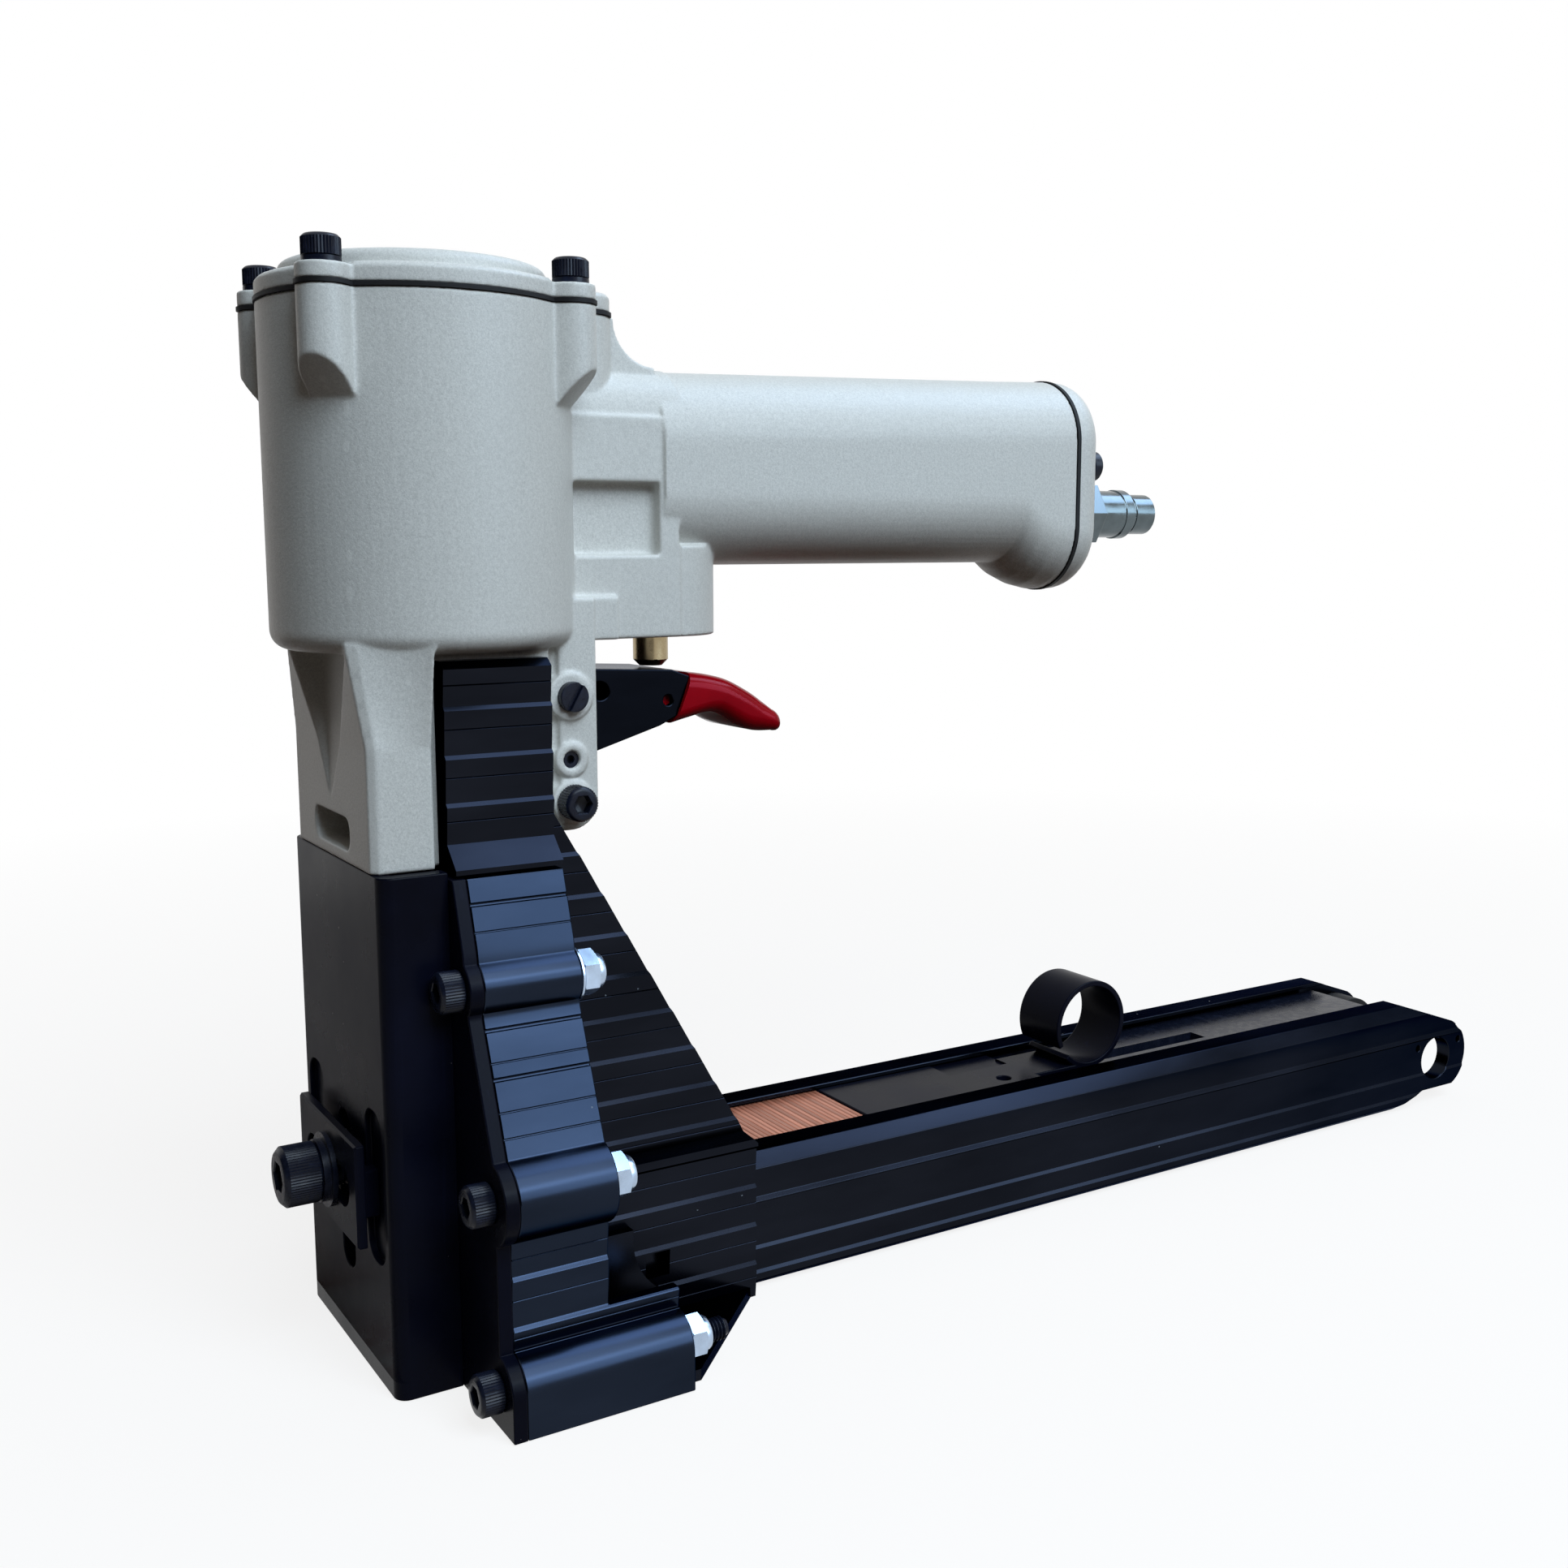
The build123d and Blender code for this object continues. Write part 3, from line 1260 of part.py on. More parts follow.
# Magazine rail: stepped side wall with a top lip and a foot, cut to shape at the rear
with BuildPart() as magazine_rail_right:
    face = rail_half - 2 * rail_step
    rail = [
        (rail_foot_inner, rail_low),
        (rail_half - rail_toe_bevel, rail_low),
        (rail_half, rail_low + rail_toe_bevel),
        (rail_half, rail_steps[0] - rail_step_rise),
        (rail_half - rail_step, rail_steps[0]),
        (rail_half - rail_step, rail_steps[1] - rail_step_rise),
        (face, rail_steps[1]),
        (face, rail_groove[0]),
        (face - rail_groove_depth, rail_groove[0] + rail_groove_depth),
        (face - rail_groove_depth, rail_groove[1]),
        (face - rail_band_depth, rail_groove[1]),
        (face - rail_band_depth, rail_band[0]),
        (face, rail_band[1]),
        (face - rail_bevel, rail_top),
        (rail_lip_inner, rail_top),
        (rail_lip_inner, rail_top - rail_lip_thick),
        (rail_inner, rail_top - rail_lip_thick),
        (rail_inner, rail_low + rail_foot_thick),
        (rail_foot_inner, rail_low + rail_foot_thick),
    ]
    with BuildSketch(face_x(rail_front)):
        with BuildLine():
            Polyline(*rail, close=True)
        make_face()
    extrude(amount=magazine_end - rail_front)
    with BuildSketch(face_y(0)):
        with BuildLine():
            lower = Polyline(
                *side_view(
                    [
                        (rail_slope_rear, rail_slope_low),
                        (rail_slope_front, rail_top),
                        (rail_front, rail_top),
                        (rail_front, rail_low),
                        (rail_toe_front, rail_low),
                        (rail_toe_rear, rail_toe_low),
                        (rail_slope_rear, rail_toe_low),
                    ]
                )
            )
            ThreePointArc(
                lower @ 1,
                (at(magazine_end), (rail_slope_low + rail_toe_low) / 2),
                lower @ 0,
            )
        make_face()
    extrude(amount=-rail_half, mode=Mode.INTERSECT)
    rail_span = (0, rail_half + 1)
    rod_y(rail_end_hole[0], rail_span, rail_end_hole[1], rail_end_hole_width / 2, Mode.SUBTRACT)
    for u, z in rail_small_holes:
        rod_y(u, rail_span, z, rail_small_hole_width / 2, Mode.SUBTRACT)

with BuildPart() as magazine_rail_left:
    mirror(magazine_rail_right.part, about=Plane.XZ)

# Staple core: a channel that the staples ride on
core_low = rail_low + rail_foot_thick
pusher_low = core_channel_top + pusher_gap
tab_slot_rear = pusher_front + tab_length + pusher_travel + 2
with BuildPart() as staple_core:
    core_span = (rear_guide_front + slide_gap, core_channel_rear)
    block(core_span, (-core_channel_half, core_channel_half), (core_low, core_channel_top))
    inner_half = core_channel_half - core_channel_wall
    inner_top = core_channel_top - core_channel_wall
    block(core_span, (-inner_half, inner_half), (core_low, inner_top), Mode.SUBTRACT)
    tab_room = tab_half + pusher_gap
    tab_slot = (pusher_front - 2, tab_slot_rear)
    block(tab_slot, (-tab_room, tab_room), (inner_top, core_channel_top), Mode.SUBTRACT)
    axle_span = (-core_channel_half, core_channel_half)
    rod_y(drum_u, axle_span, drum_level, axle_width / 2 + thread_gap, Mode.SUBTRACT)

# Row of staples
crown_inner = core_channel_half + staple_gap
crown_low_z = core_channel_top + staple_gap
with BuildPart() as staples:
    staple_span = (rear_guide_front + slide_gap, staple_rear)
    outer_half = crown_inner + wire_thick
    block(staple_span, (-outer_half, outer_half), (staple_leg_low, crown_low_z + wire_thick))
    block(staple_span, (-crown_inner, crown_inner), (staple_leg_low, crown_low_z), Mode.SUBTRACT)

# Pusher: saddle over the core, top plate and a rolled finger loop
with BuildPart() as pusher:
    saddle_span = (pusher_front, pusher_rear)
    saddle_inner = core_channel_half + pusher_gap
    saddle_outer = rail_inner - pusher_gap
    saddle_top = rail_top - rail_lip_thick - pusher_gap
    block(saddle_span, (-saddle_outer, saddle_outer), (staple_leg_low, saddle_top))
    block(saddle_span, (-saddle_inner, saddle_inner), (staple_leg_low, pusher_low), Mode.SUBTRACT)
    block(saddle_span, (-pusher_plate_half, pusher_plate_half), (pusher_low, pusher_plate_top))
    notch_y = (pusher_notch_y, pusher_plate_half + 1)
    block((pusher_notch_u, pusher_rear + 1), notch_y, (saddle_top, pusher_plate_top + 1), Mode.SUBTRACT)
    plate_z = (pusher_low, pusher_plate_top)
    rod_z(pusher_hole_u, -pusher_plate_half / 2, plate_z, pusher_hole_width / 2, Mode.SUBTRACT)
    strip_low = pusher_plate_top - strip_thick
    loop_z = strip_low + loop_radius
    block((pusher_rear - 1, loop_u), (-loop_half, loop_half), (strip_low, pusher_plate_top))
    with BuildSketch(face_y(0)):
        with Locations((at(loop_u), loop_z)):
            Circle(loop_radius)
            Circle(loop_radius - strip_thick, mode=Mode.SUBTRACT)
        with BuildLine():
            reach = 2 * loop_radius
            gap_points = [
                (at(loop_u) + reach * cos(radians(angle)), loop_z + reach * sin(radians(angle)))
                for angle in (loop_gap_start, loop_gap_end)
            ]
            Polyline((at(loop_u), loop_z), *gap_points, close=True)
        make_face(mode=Mode.SUBTRACT)
    extrude(amount=loop_half, both=True)
    tab_low = drum_level + drum_radius + ribbon_gap + ribbon_thick
    block((pusher_front, pusher_front + tab_length), (-tab_half, tab_half), (tab_low, pusher_low))

# Feed spring: drum on an axle, with a ribbon that pulls the pusher forward
with BuildPart() as feed_axle:
    rod_y(drum_u, axle_span, drum_level, axle_width / 2)

with BuildPart() as feed_drum:
    rod_y(drum_u, (-drum_half, drum_half), drum_level, drum_radius)
    rod_y(drum_u, (-drum_half, drum_half), drum_level, axle_width / 2 + run_gap, Mode.SUBTRACT)

with BuildPart() as feed_ribbon:
    block((drum_u, pusher_front + tab_length), (-ribbon_half, ribbon_half), (tab_low - ribbon_thick, tab_low))

# Round buffer in the right rail at the magazine's end
with BuildPart() as end_buffer:
    rod_y(buffer_u, (buffer_inner, rail_inner - slide_gap), rail_end_hole[1], buffer_radius)
    rod_y(buffer_u, (rail_inner - 1, rail_half - 1), rail_end_hole[1], rail_end_hole_width / 2 - seat_gap)

# Names and files
os.makedirs("parts", exist_ok=True)
pieces = {
    "nose_cover": nose_cover,
    "stop_plate": stop_plate,
    "stop_bolt": stop_bolt,
    "stop_flat_washer": stop_flat_washer,
    "stop_spring_washer": stop_spring_washer,
    "stop_nut": stop_nut,
    "front_plate": front_plate,
    "driver_guide": driver_guide,
    "rear_guide": rear_guide,
    "wing_plate_right": wing_plate_right,
    "wing_plate_left": wing_plate_left,
    "clincher_cover_right": clincher_cover_right,
    "clincher_cover_left": clincher_cover_left,
    "housing_bolts": housing_bolts,
    "housing_washers": housing_washers,
    "housing_nuts": housing_nuts,
    "clincher_arm_right": clincher_arm_right,
    "clincher_arm_left": clincher_arm_left,
    "clincher_pins": clincher_pins,
    "body_casting": body_casting,
    "cap_gasket": cap_gasket,
    "top_cap": top_cap,
    "cap_washers": cap_washers,
    "cap_screws": cap_screws,
    "cylinder_liner": cylinder_liner,
    "bumper": bumper,
    "piston": piston,
    "piston_seal": piston_seal,
    "driver_blade": driver_blade,
    "head_valve": head_valve,
    "head_valve_spring": head_valve_spring,
    "end_cap_gasket": end_cap_gasket,
    "handle_end_cap": handle_end_cap,
    "end_cap_screws": end_cap_screws,
    "air_plug": air_plug,
    "valve_bush": valve_bush,
    "valve_stem": valve_stem,
    "stem_spring": stem_spring,
    "trigger": trigger,
    "trigger_grip": trigger_grip,
    "trigger_pivot": trigger_pivot,
    "ear_bolts": ear_bolts,
    "ear_set_screws": ear_set_screws,
    "magazine_rail_right": magazine_rail_right,
    "magazine_rail_left": magazine_rail_left,
    "staple_core": staple_core,
    "staples": staples,
    "pusher": pusher,
    "feed_axle": feed_axle,
    "feed_drum": feed_drum,
    "feed_ribbon": feed_ribbon,
    "end_buffer": end_buffer,
}
for name, piece in pieces.items():
    piece.part.label = name
    export_step(piece.part, f"parts/{name}.step")
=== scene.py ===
import json
import math

import bmesh
import bpy
from bpy.props import FloatProperty, FloatVectorProperty, IntProperty, PointerProperty
from mathutils import Matrix, Vector
from mathutils.bvhtree import BVHTree


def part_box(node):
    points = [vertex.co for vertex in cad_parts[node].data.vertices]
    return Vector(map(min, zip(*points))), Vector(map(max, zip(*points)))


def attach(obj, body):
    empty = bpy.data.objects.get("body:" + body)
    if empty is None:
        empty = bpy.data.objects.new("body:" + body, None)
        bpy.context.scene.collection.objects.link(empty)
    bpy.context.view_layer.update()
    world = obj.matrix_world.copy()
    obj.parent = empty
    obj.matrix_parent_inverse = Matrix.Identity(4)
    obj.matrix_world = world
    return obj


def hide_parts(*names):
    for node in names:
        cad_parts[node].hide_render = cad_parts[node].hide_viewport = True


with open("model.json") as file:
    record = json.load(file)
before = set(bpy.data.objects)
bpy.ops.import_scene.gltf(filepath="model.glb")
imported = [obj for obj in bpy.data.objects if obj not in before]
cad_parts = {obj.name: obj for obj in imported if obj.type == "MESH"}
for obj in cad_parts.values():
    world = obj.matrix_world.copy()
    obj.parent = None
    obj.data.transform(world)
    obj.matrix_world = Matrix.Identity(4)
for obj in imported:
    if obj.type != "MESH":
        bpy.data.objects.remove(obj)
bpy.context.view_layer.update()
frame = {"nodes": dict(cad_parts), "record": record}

bl_info = {
    "name": "Carton stapler looks",
    "version": (1, 0, 0),
    "blender": (4, 5, 0),
    "location": "View3D > Sidebar > Stapler",
    "description": "Dresses the carton stapler's solids with finishes, fasteners and a stage",
    "category": "Object",
}

# Units, limits for welding, edges and shading, and the sockets of a colour mix
MM = 0.001
FINISH_PREFIX = "looks_"
WELD = 0.002 * MM
FLAT_ANGLE = math.radians(0.6)
SHARP_ANGLE = math.radians(28)
SMOOTH_ANGLE = math.radians(32)
FACET_TURN = math.cos(math.radians(15))
BEVEL_TURN = math.cos(math.radians(62))
NARROW_FACE = 2.2
ROUND_STEPS = 48
MIX_FIRST = 6
MIX_SECOND = 7
MIX_RESULT = 2

# Finish slot and moving body of each solid
SLOT_OF_NODE = {part["node"]: part["material_slot"] for part in frame["record"]["subparts"]}
BODY_OF_NODE = {
    node: body for body, nodes in frame["record"]["behaviour"]["bodies"].items() for node in nodes
}

# Lamps around the object: direction, distance, size, power, colour, and whether only gloss shows them
LAMP_AIM = Vector((-0.03, 0.0, 0.11))
LAMPS = {
    "key_lamp": ((0.05, -0.80, 0.84), 1.35, (0.9, 0.9), 19.5, (0.71, 0.86, 1.0), False),
    "top_lamp": ((0.12, 0.05, 1.0), 1.25, (1.2, 1.2), 1.4, (0.58, 0.80, 1.0), False),
    "strip_lamp": ((0.48, -0.79, 0.38), 1.35, (0.8, 0.7), 12.0, (0.6, 0.8, 1.0), True),
    "sheen_lamp": ((0.52, -0.13, 0.82), 1.3, (0.8, 0.8), 14.0, (0.5, 0.7, 1.0), True),
}

# Cards around the object: middle, facing, size, finish, and whether only gloss shows them
CARDS = {
    "left_flag": ((-1.15, 0.0, 0.75), (1.0, 0.0, 0.0), (2.2, 1.5), "flag_card", False),
    "camera_flag": ((-0.75, -1.15, 0.45), (0.5, 0.85, -0.1), (1.3, 0.9), "flag_card", False),
    "low_flag": ((-0.03, 0.0, 0.12), (0.0, 0.0, 1.0), (0.13, 0.09), "flag_card", True),
    "floor_flag": ((-0.30, 0.22, 0.004), (0.0, 0.0, 1.0), (0.34, 0.5), "warm_card", True),
}


# Sizes and colours that a user may change

def length(name, description, default):
    """A length in metres, shown in the scene's unit."""
    return FloatProperty(
        name=name, description=description, default=default, min=0.0, unit="LENGTH", precision=5
    )


def colour(name, description, default):
    """A colour of a finish, in linear light."""
    return FloatVectorProperty(
        name=name, description=description, default=default, min=0.0, max=1.0, subtype="COLOR", size=3
    )


class StaplerSizes(bpy.types.PropertyGroup):
    plate_edge: length("Plate edge", "Width of the broken edges of the black plates", 0.28 * MM)
    small_edge: length("Small edge", "Width of the broken edges of small turned pieces", 0.18 * MM)
    casting_cell: length("Casting cell", "Cell size of the softened casting's mesh", 0.42 * MM)
    cap_cell: length("Cap cell", "Cell size of the softened caps' mesh", 0.36 * MM)
    grip_start: length("Grip start", "Length of the grip's tongue inside the trigger", 8.3 * MM)
    grip_slant: length("Grip slant", "How far the grip's lower edge starts before its upper one", 4.6 * MM)
    grip_round: length("Grip round", "Radius of the dipped grip's long edges", 3.5 * MM)
    staple_pitch: length("Staple pitch", "Distance from one staple wire to the next", 1.39 * MM)
    staple_gap: length("Staple gap", "Groove between two staple wires", 0.14 * MM)
    staple_height: length("Staple height", "Thickness of a staple wire from top to bottom", 1.0 * MM)
    knurl_pitch: length("Knurl pitch", "Distance between the ridges on a screw head", 0.62 * MM)
    knurl_depth: length("Knurl depth", "Depth of the ridges on a screw head", 0.16 * MM)
    thread_pitch: length("Thread pitch", "Pitch of the screws' threads", 0.8 * MM)
    casting_passes: IntProperty(
        name="Casting passes", description="Smoothing passes that round the casting's edges", default=2, min=0
    )
    cap_passes: IntProperty(
        name="Cap passes", description="Smoothing passes that round the caps' edges", default=3, min=0
    )
    grip_passes: IntProperty(
        name="Grip passes", description="Smoothing passes along the dipped grip's outline", default=60, min=0
    )


class StaplerColours(bpy.types.PropertyGroup):
    cast_paint: colour("Cast paint", "Champagne silver paint of the castings", (0.64, 0.635, 0.60))
    black_anodised: colour("Black anodised", "Black anodised covers", (0.0115, 0.016, 0.027))
    # Painted shade: a darker copy of the covers' anodising for the upright wings and rails
    rail_black: colour("Rail black", "Darker anodising of the wings and rails", (0.0090, 0.0104, 0.0150))
    black_paint: colour("Black paint", "Black paint of the nose, plates and pusher", (0.0026, 0.0032, 0.0088))
    trigger_black: colour("Trigger black", "Black film of the trigger", (0.0040, 0.0050, 0.0080))
    black_oxide: colour("Black oxide", "Black oxide of the screws", (0.0055, 0.0075, 0.017))
    # Partly wear and partly a painted highlight: a lighter colour on the broken edges of black pieces
    worn_edge: colour("Worn edge", "Edges of black pieces where the finish is thin", (0.05, 0.065, 0.095))
    zinc: colour("Zinc", "Bright zinc of the nuts", (0.42, 0.52, 0.66))
    plug_steel: colour("Plug steel", "Plated steel of the air plug", (0.11, 0.135, 0.145))
    bare_steel: colour("Bare steel", "Ground steel of the inner pieces", (0.42, 0.42, 0.43))
    spring_steel: colour("Spring steel", "Drawn steel of the springs", (0.30, 0.29, 0.28))
    brass_metal: colour("Brass", "Turned brass of the valve", (0.40, 0.32, 0.19))
    copper_wire: colour("Copper", "Copper coat of the staples", (0.56, 0.205, 0.12))
    red_grip: colour("Red grip", "Dipped vinyl of the trigger", (0.27, 0.0006, 0.005))
    gasket_rubber: colour("Rubber", "Gaskets and buffers", (0.012, 0.012, 0.013))
    liner_metal: colour("Liner", "Honed light metal of the cylinder", (0.56, 0.57, 0.59))
    valve_plastic: colour("Valve plastic", "Moulded dark plastic", (0.025, 0.025, 0.028))
    flag_card: colour("Flag card", "Dark cards around the object", (0.10, 0.085, 0.075))
    warm_card: colour("Warm card", "Warm card on the floor beside the nose", (0.85, 0.65, 0.60))
    floor_white: colour("Floor white", "The floor as the camera sees it", (1.0, 0.955, 0.925))
    floor_bounce: colour("Floor bounce", "The floor as the object's sides see it", (0.05, 0.03, 0.018))
    sky_tint: colour("Sky tint", "Surround above the object", (0.275, 0.258, 0.24))
    ground_tint: colour("Ground tint", "Surround below the horizon", (0.09, 0.056, 0.036))


# Node helpers for the finishes

class Finish:
    """One procedural material, with short calls for the nodes that it needs."""

    def __init__(self, name):
        self.material = bpy.data.materials.new(FINISH_PREFIX + name)
        self.material.use_nodes = True
        self.tree = self.material.node_tree
        self.shader = self.tree.nodes["Principled BSDF"]
        self.place = self.add("ShaderNodeTexCoord").outputs["Object"]

    def add(self, kind, **settings):
        """A node of that kind with its settings."""
        node = self.tree.nodes.new(kind)
        for key, value in settings.items():
            setattr(node, key, value)
        return node

    def put(self, source, socket):
        """Joins an output to a socket, or sets the socket to a plain value."""
        if hasattr(source, "is_linked"):
            self.tree.links.new(source, socket)
        else:
            socket.default_value = source

    def stretched(self, scale):
        """The object's own coordinates, scaled along each axis."""
        node = self.add("ShaderNodeMapping")
        self.put(self.place, node.inputs["Vector"])
        node.inputs["Scale"].default_value = scale
        return node.outputs["Vector"]

    def noise(self, per_metre, detail=3.0, stretch=(1.0, 1.0, 1.0), rough=0.55):
        """Noise with that many lumps to the metre."""
        node = self.add("ShaderNodeTexNoise")
        self.put(self.stretched(tuple(per_metre * axis for axis in stretch)), node.inputs["Vector"])
        node.inputs["Scale"].default_value = 1.0
        node.inputs["Detail"].default_value = detail
        node.inputs["Roughness"].default_value = rough
        return node.outputs["Fac"]

    def range(self, source, low, high, out_low, out_high):
        """A value carried from one span to another and held there."""
        node = self.add("ShaderNodeMapRange")
        self.put(source, node.inputs["Value"])
        node.inputs["From Min"].default_value = low
        node.inputs["From Max"].default_value = high
        node.inputs["To Min"].default_value = out_low
        node.inputs["To Max"].default_value = out_high
        return node.outputs["Result"]

    def math(self, operation, first, second):
        """Two values joined by one operation."""
        node = self.add("ShaderNodeMath", operation=operation)
        self.put(first, node.inputs[0])
        self.put(second, node.inputs[1])
        return node.outputs["Value"]

    def mix(self, amount, first, second):
        """Two colours mixed by an amount."""
        node = self.add("ShaderNodeMix", data_type="RGBA")
        self.put(amount, node.inputs["Factor"])
        for value, socket in ((first, MIX_FIRST), (second, MIX_SECOND)):
            self.put(value if hasattr(value, "is_linked") else tint(value), node.inputs[socket])
        return node.outputs[MIX_RESULT]

    def specks(self, per_metre, share, size):
        """Small round specks in a share of the cells of a scattered pattern."""
        node = self.add("ShaderNodeTexVoronoi")
        self.put(self.stretched((per_metre,) * 3), node.inputs["Vector"])
        node.inputs["Scale"].default_value = 1.0
        parts = self.add("ShaderNodeSeparateColor")
        self.put(node.outputs["Color"], parts.inputs["Color"])
        chosen = self.math("LESS_THAN", parts.outputs["Red"], share)
        reach = self.math("MULTIPLY", parts.outputs["Green"], size)
        return self.math("MULTIPLY", chosen, self.math("LESS_THAN", node.outputs["Distance"], reach))

    def edges(self, low, high):
        """How far a spot lies on an outer edge, from 0 to 1."""
        return self.range(self.add("ShaderNodeNewGeometry").outputs["Pointiness"], low, high, 0.0, 1.0)

    def relief(self, layers):
        """Bumps from several heights, each with its strength and depth in metres."""
        normal = None
        for height, strength, depth in layers:
            node = self.add("ShaderNodeBump")
            node.inputs["Strength"].default_value = strength
            node.inputs["Distance"].default_value = depth
            self.put(height, node.inputs["Height"])
            if normal is not None:
                self.put(normal, node.inputs["Normal"])
            normal = node.outputs["Normal"]
        self.put(normal, self.shader.inputs["Normal"])

    def set(self, **sockets):
        """Shader sockets by their plain names."""
        for key, value in sockets.items():
            socket = self.shader.inputs[key.replace("_", " ").title().replace("Ior", "IOR")]
            if hasattr(value, "is_linked"):
                self.put(value, socket)
            else:
                socket.default_value = tint(value) if socket.type == "RGBA" else value


def tint(rgb, factor=1.0):
    """A colour with its alpha, made lighter or darker by a factor."""
    return tuple(min(1.0, channel * factor) for channel in rgb[:3]) + (1.0,)


def cast_finish(rgb):
    """Sand-textured metallic paint with soft cloudy tone, lighter along its outer edges."""
    paint = Finish("cast_paint")
    sand = paint.noise(1500.0, 4.0, rough=0.65)
    grit = paint.noise(3600.0, 2.0, rough=0.6)
    cloud = paint.noise(38.0, 3.0)
    grain = paint.math("ADD", paint.math("MULTIPLY", sand, 0.45), paint.math("MULTIPLY", grit, 0.55))
    pale = paint.mix(paint.range(grain, 0.36, 0.64, 0.0, 1.0), tint(rgb, 0.84), tint(rgb, 1.14))
    cloudy = paint.mix(paint.range(cloud, 0.35, 0.65, 0.0, 0.25), pale, tint(rgb, 0.94))
    # Lighter along outer edges, where pointiness is high
    lightened = paint.mix(paint.math("MULTIPLY", paint.edges(0.515, 0.56), 0.35), cloudy, tint(rgb, 1.3))
    spotted = paint.mix(paint.specks(120.0, 0.02, 0.035), lightened, tint(rgb, 0.25))
    paint.set(
        base_color=spotted,
        roughness=paint.range(grit, 0.3, 0.7, 0.32, 0.48),
        ior=1.28,
    )
    paint.relief([(cloud, 0.25, 0.25 * MM), (sand, 0.55, 0.11 * MM), (grit, 0.50, 0.05 * MM)])
    return paint.material


def anodised_finish(name, rgb):
    """Black anodised extrusion with drawn lines along its length, dust and a cool sheen."""
    black = Finish(name)
    drawn = black.noise(900.0, 2.0, (0.02, 1.0, 1.0))
    haze = black.noise(60.0, 4.0, (0.3, 1.0, 1.0))
    dust = black.specks(520.0, 0.03, 0.12)
    toned = black.mix(black.range(haze, 0.35, 0.7, 0.0, 1.0), tint(rgb, 0.85), tint(rgb, 1.3))
    black.set(
        base_color=black.mix(dust, toned, (0.16, 0.18, 0.21)),
        metallic=black.math("SUBTRACT", 1.0, dust),
        roughness=black.range(haze, 0.3, 0.7, 0.17, 0.26),
        specular_tint=(0.26, 0.29, 0.35),
    )
    black.relief([(haze, 0.12, 0.1 * MM), (drawn, 0.10, 0.03 * MM)])
    return black.material


def paint_finish(rgb):
    """Black satin paint with fine scratches and dust."""
    black = Finish("black_paint")
    fine = black.noise(1300.0, 3.0)
    haze = black.noise(45.0, 4.0)
    scratch = black.noise(420.0, 2.0, (1.0, 1.0, 0.03))
    marks = black.range(scratch, 0.66, 0.70, 0.0, 0.2)
    toned = black.mix(black.range(haze, 0.35, 0.7, 0.0, 1.0), tint(rgb, 0.75), tint(rgb, 1.5))
    dusty = black.mix(black.specks(520.0, 0.03, 0.12), toned, (0.14, 0.13, 0.13))
    black.set(
        base_color=black.mix(marks, dusty, tint(rgb, 3.0)),
        roughness=black.range(haze, 0.3, 0.7, 0.24, 0.34),
        ior=1.11,
    )
    black.relief([(haze, 0.1, 0.12 * MM), (fine, 0.16, 0.03 * MM)])
    return black.material


def oxide_finish(rgb):
    """Black oxide steel, oily and a little rubbed."""
    black = Finish("black_oxide")
    haze = black.noise(500.0, 3.0)
    fine = black.noise(2500.0, 2.0)
    lightened = black.mix(black.range(haze, 0.55, 0.75, 0.0, 0.5), tint(rgb, 0.9), tint(rgb, 2.6))
    black.set(
        base_color=lightened,
        roughness=black.range(haze, 0.3, 0.7, 0.22, 0.36),
        ior=1.25,
    )
    black.relief([(fine, 0.12, 0.02 * MM)])
    return black.material


def wear_and_highlight_finish(rgb):
    """Lighter edge line, partly wear where the black finish is thin and partly a painted highlight."""
    edge = Finish("worn_edge")
    haze = edge.noise(260.0, 4.0)
    edge.set(
        base_color=edge.mix(edge.range(haze, 0.4, 0.62, 0.0, 1.0), tint(rgb, 0.35), tint(rgb, 1.25)),
        metallic=0.35,
        roughness=edge.range(haze, 0.3, 0.7, 0.34, 0.5),
        specular_tint=(0.7, 0.85, 1.0),
    )
    edge.relief([(edge.noise(2200.0, 2.0), 0.1, 0.02 * MM)])
    return edge.material


def metal_finish(name, rgb, low_rough, high_rough, stretch=(1.0, 1.0, 1.0), fine_per_metre=1800.0):
    """Plain metal with drawn or turned lines and uneven gloss."""
    metal = Finish(name)
    lines = metal.noise(fine_per_metre, 3.0, stretch)
    haze = metal.noise(220.0, 4.0)
    metal.set(
        base_color=metal.mix(metal.range(haze, 0.35, 0.7, 0.0, 1.0), tint(rgb, 0.82), tint(rgb, 1.08)),
        metallic=1.0,
        roughness=metal.range(haze, 0.3, 0.7, low_rough, high_rough),
    )
    metal.relief([(lines, 0.14, 0.025 * MM)])
    return metal.material


def copper_finish(rgb):
    """Copper coated wire, each wire a little different in tone."""
    copper = Finish("copper_wire")
    tone = copper.noise(720.0, 0.0, (1.0, 0.002, 0.002))
    streak = copper.noise(900.0, 3.0, (1.0, 0.06, 0.3))
    shaded = copper.mix(copper.range(tone, 0.35, 0.65, 0.0, 1.0), tint(rgb, 0.66), tint(rgb, 1.18))
    copper.set(
        base_color=copper.mix(copper.range(streak, 0.45, 0.75, 0.0, 0.5), shaded, tint(rgb, 0.6)),
        metallic=0.3,
        roughness=copper.range(streak, 0.3, 0.7, 0.34, 0.52),
    )
    copper.relief([(streak, 0.15, 0.03 * MM)])
    return copper.material


def vinyl_finish(rgb):
    """Glossy dipped vinyl with a slight orange peel."""
    vinyl = Finish("red_grip")
    peel = vinyl.noise(260.0, 2.0)
    haze = vinyl.noise(70.0, 3.0)
    vinyl.set(
        base_color=vinyl.mix(vinyl.range(haze, 0.35, 0.7, 0.0, 1.0), tint(rgb, 0.85), tint(rgb, 1.15)),
        roughness=vinyl.range(haze, 0.3, 0.7, 0.12, 0.20),
        specular_tint=(1.0, 0.12, 0.20),
        ior=1.3,
    )
    vinyl.relief([(peel, 0.12, 0.12 * MM)])
    return vinyl.material


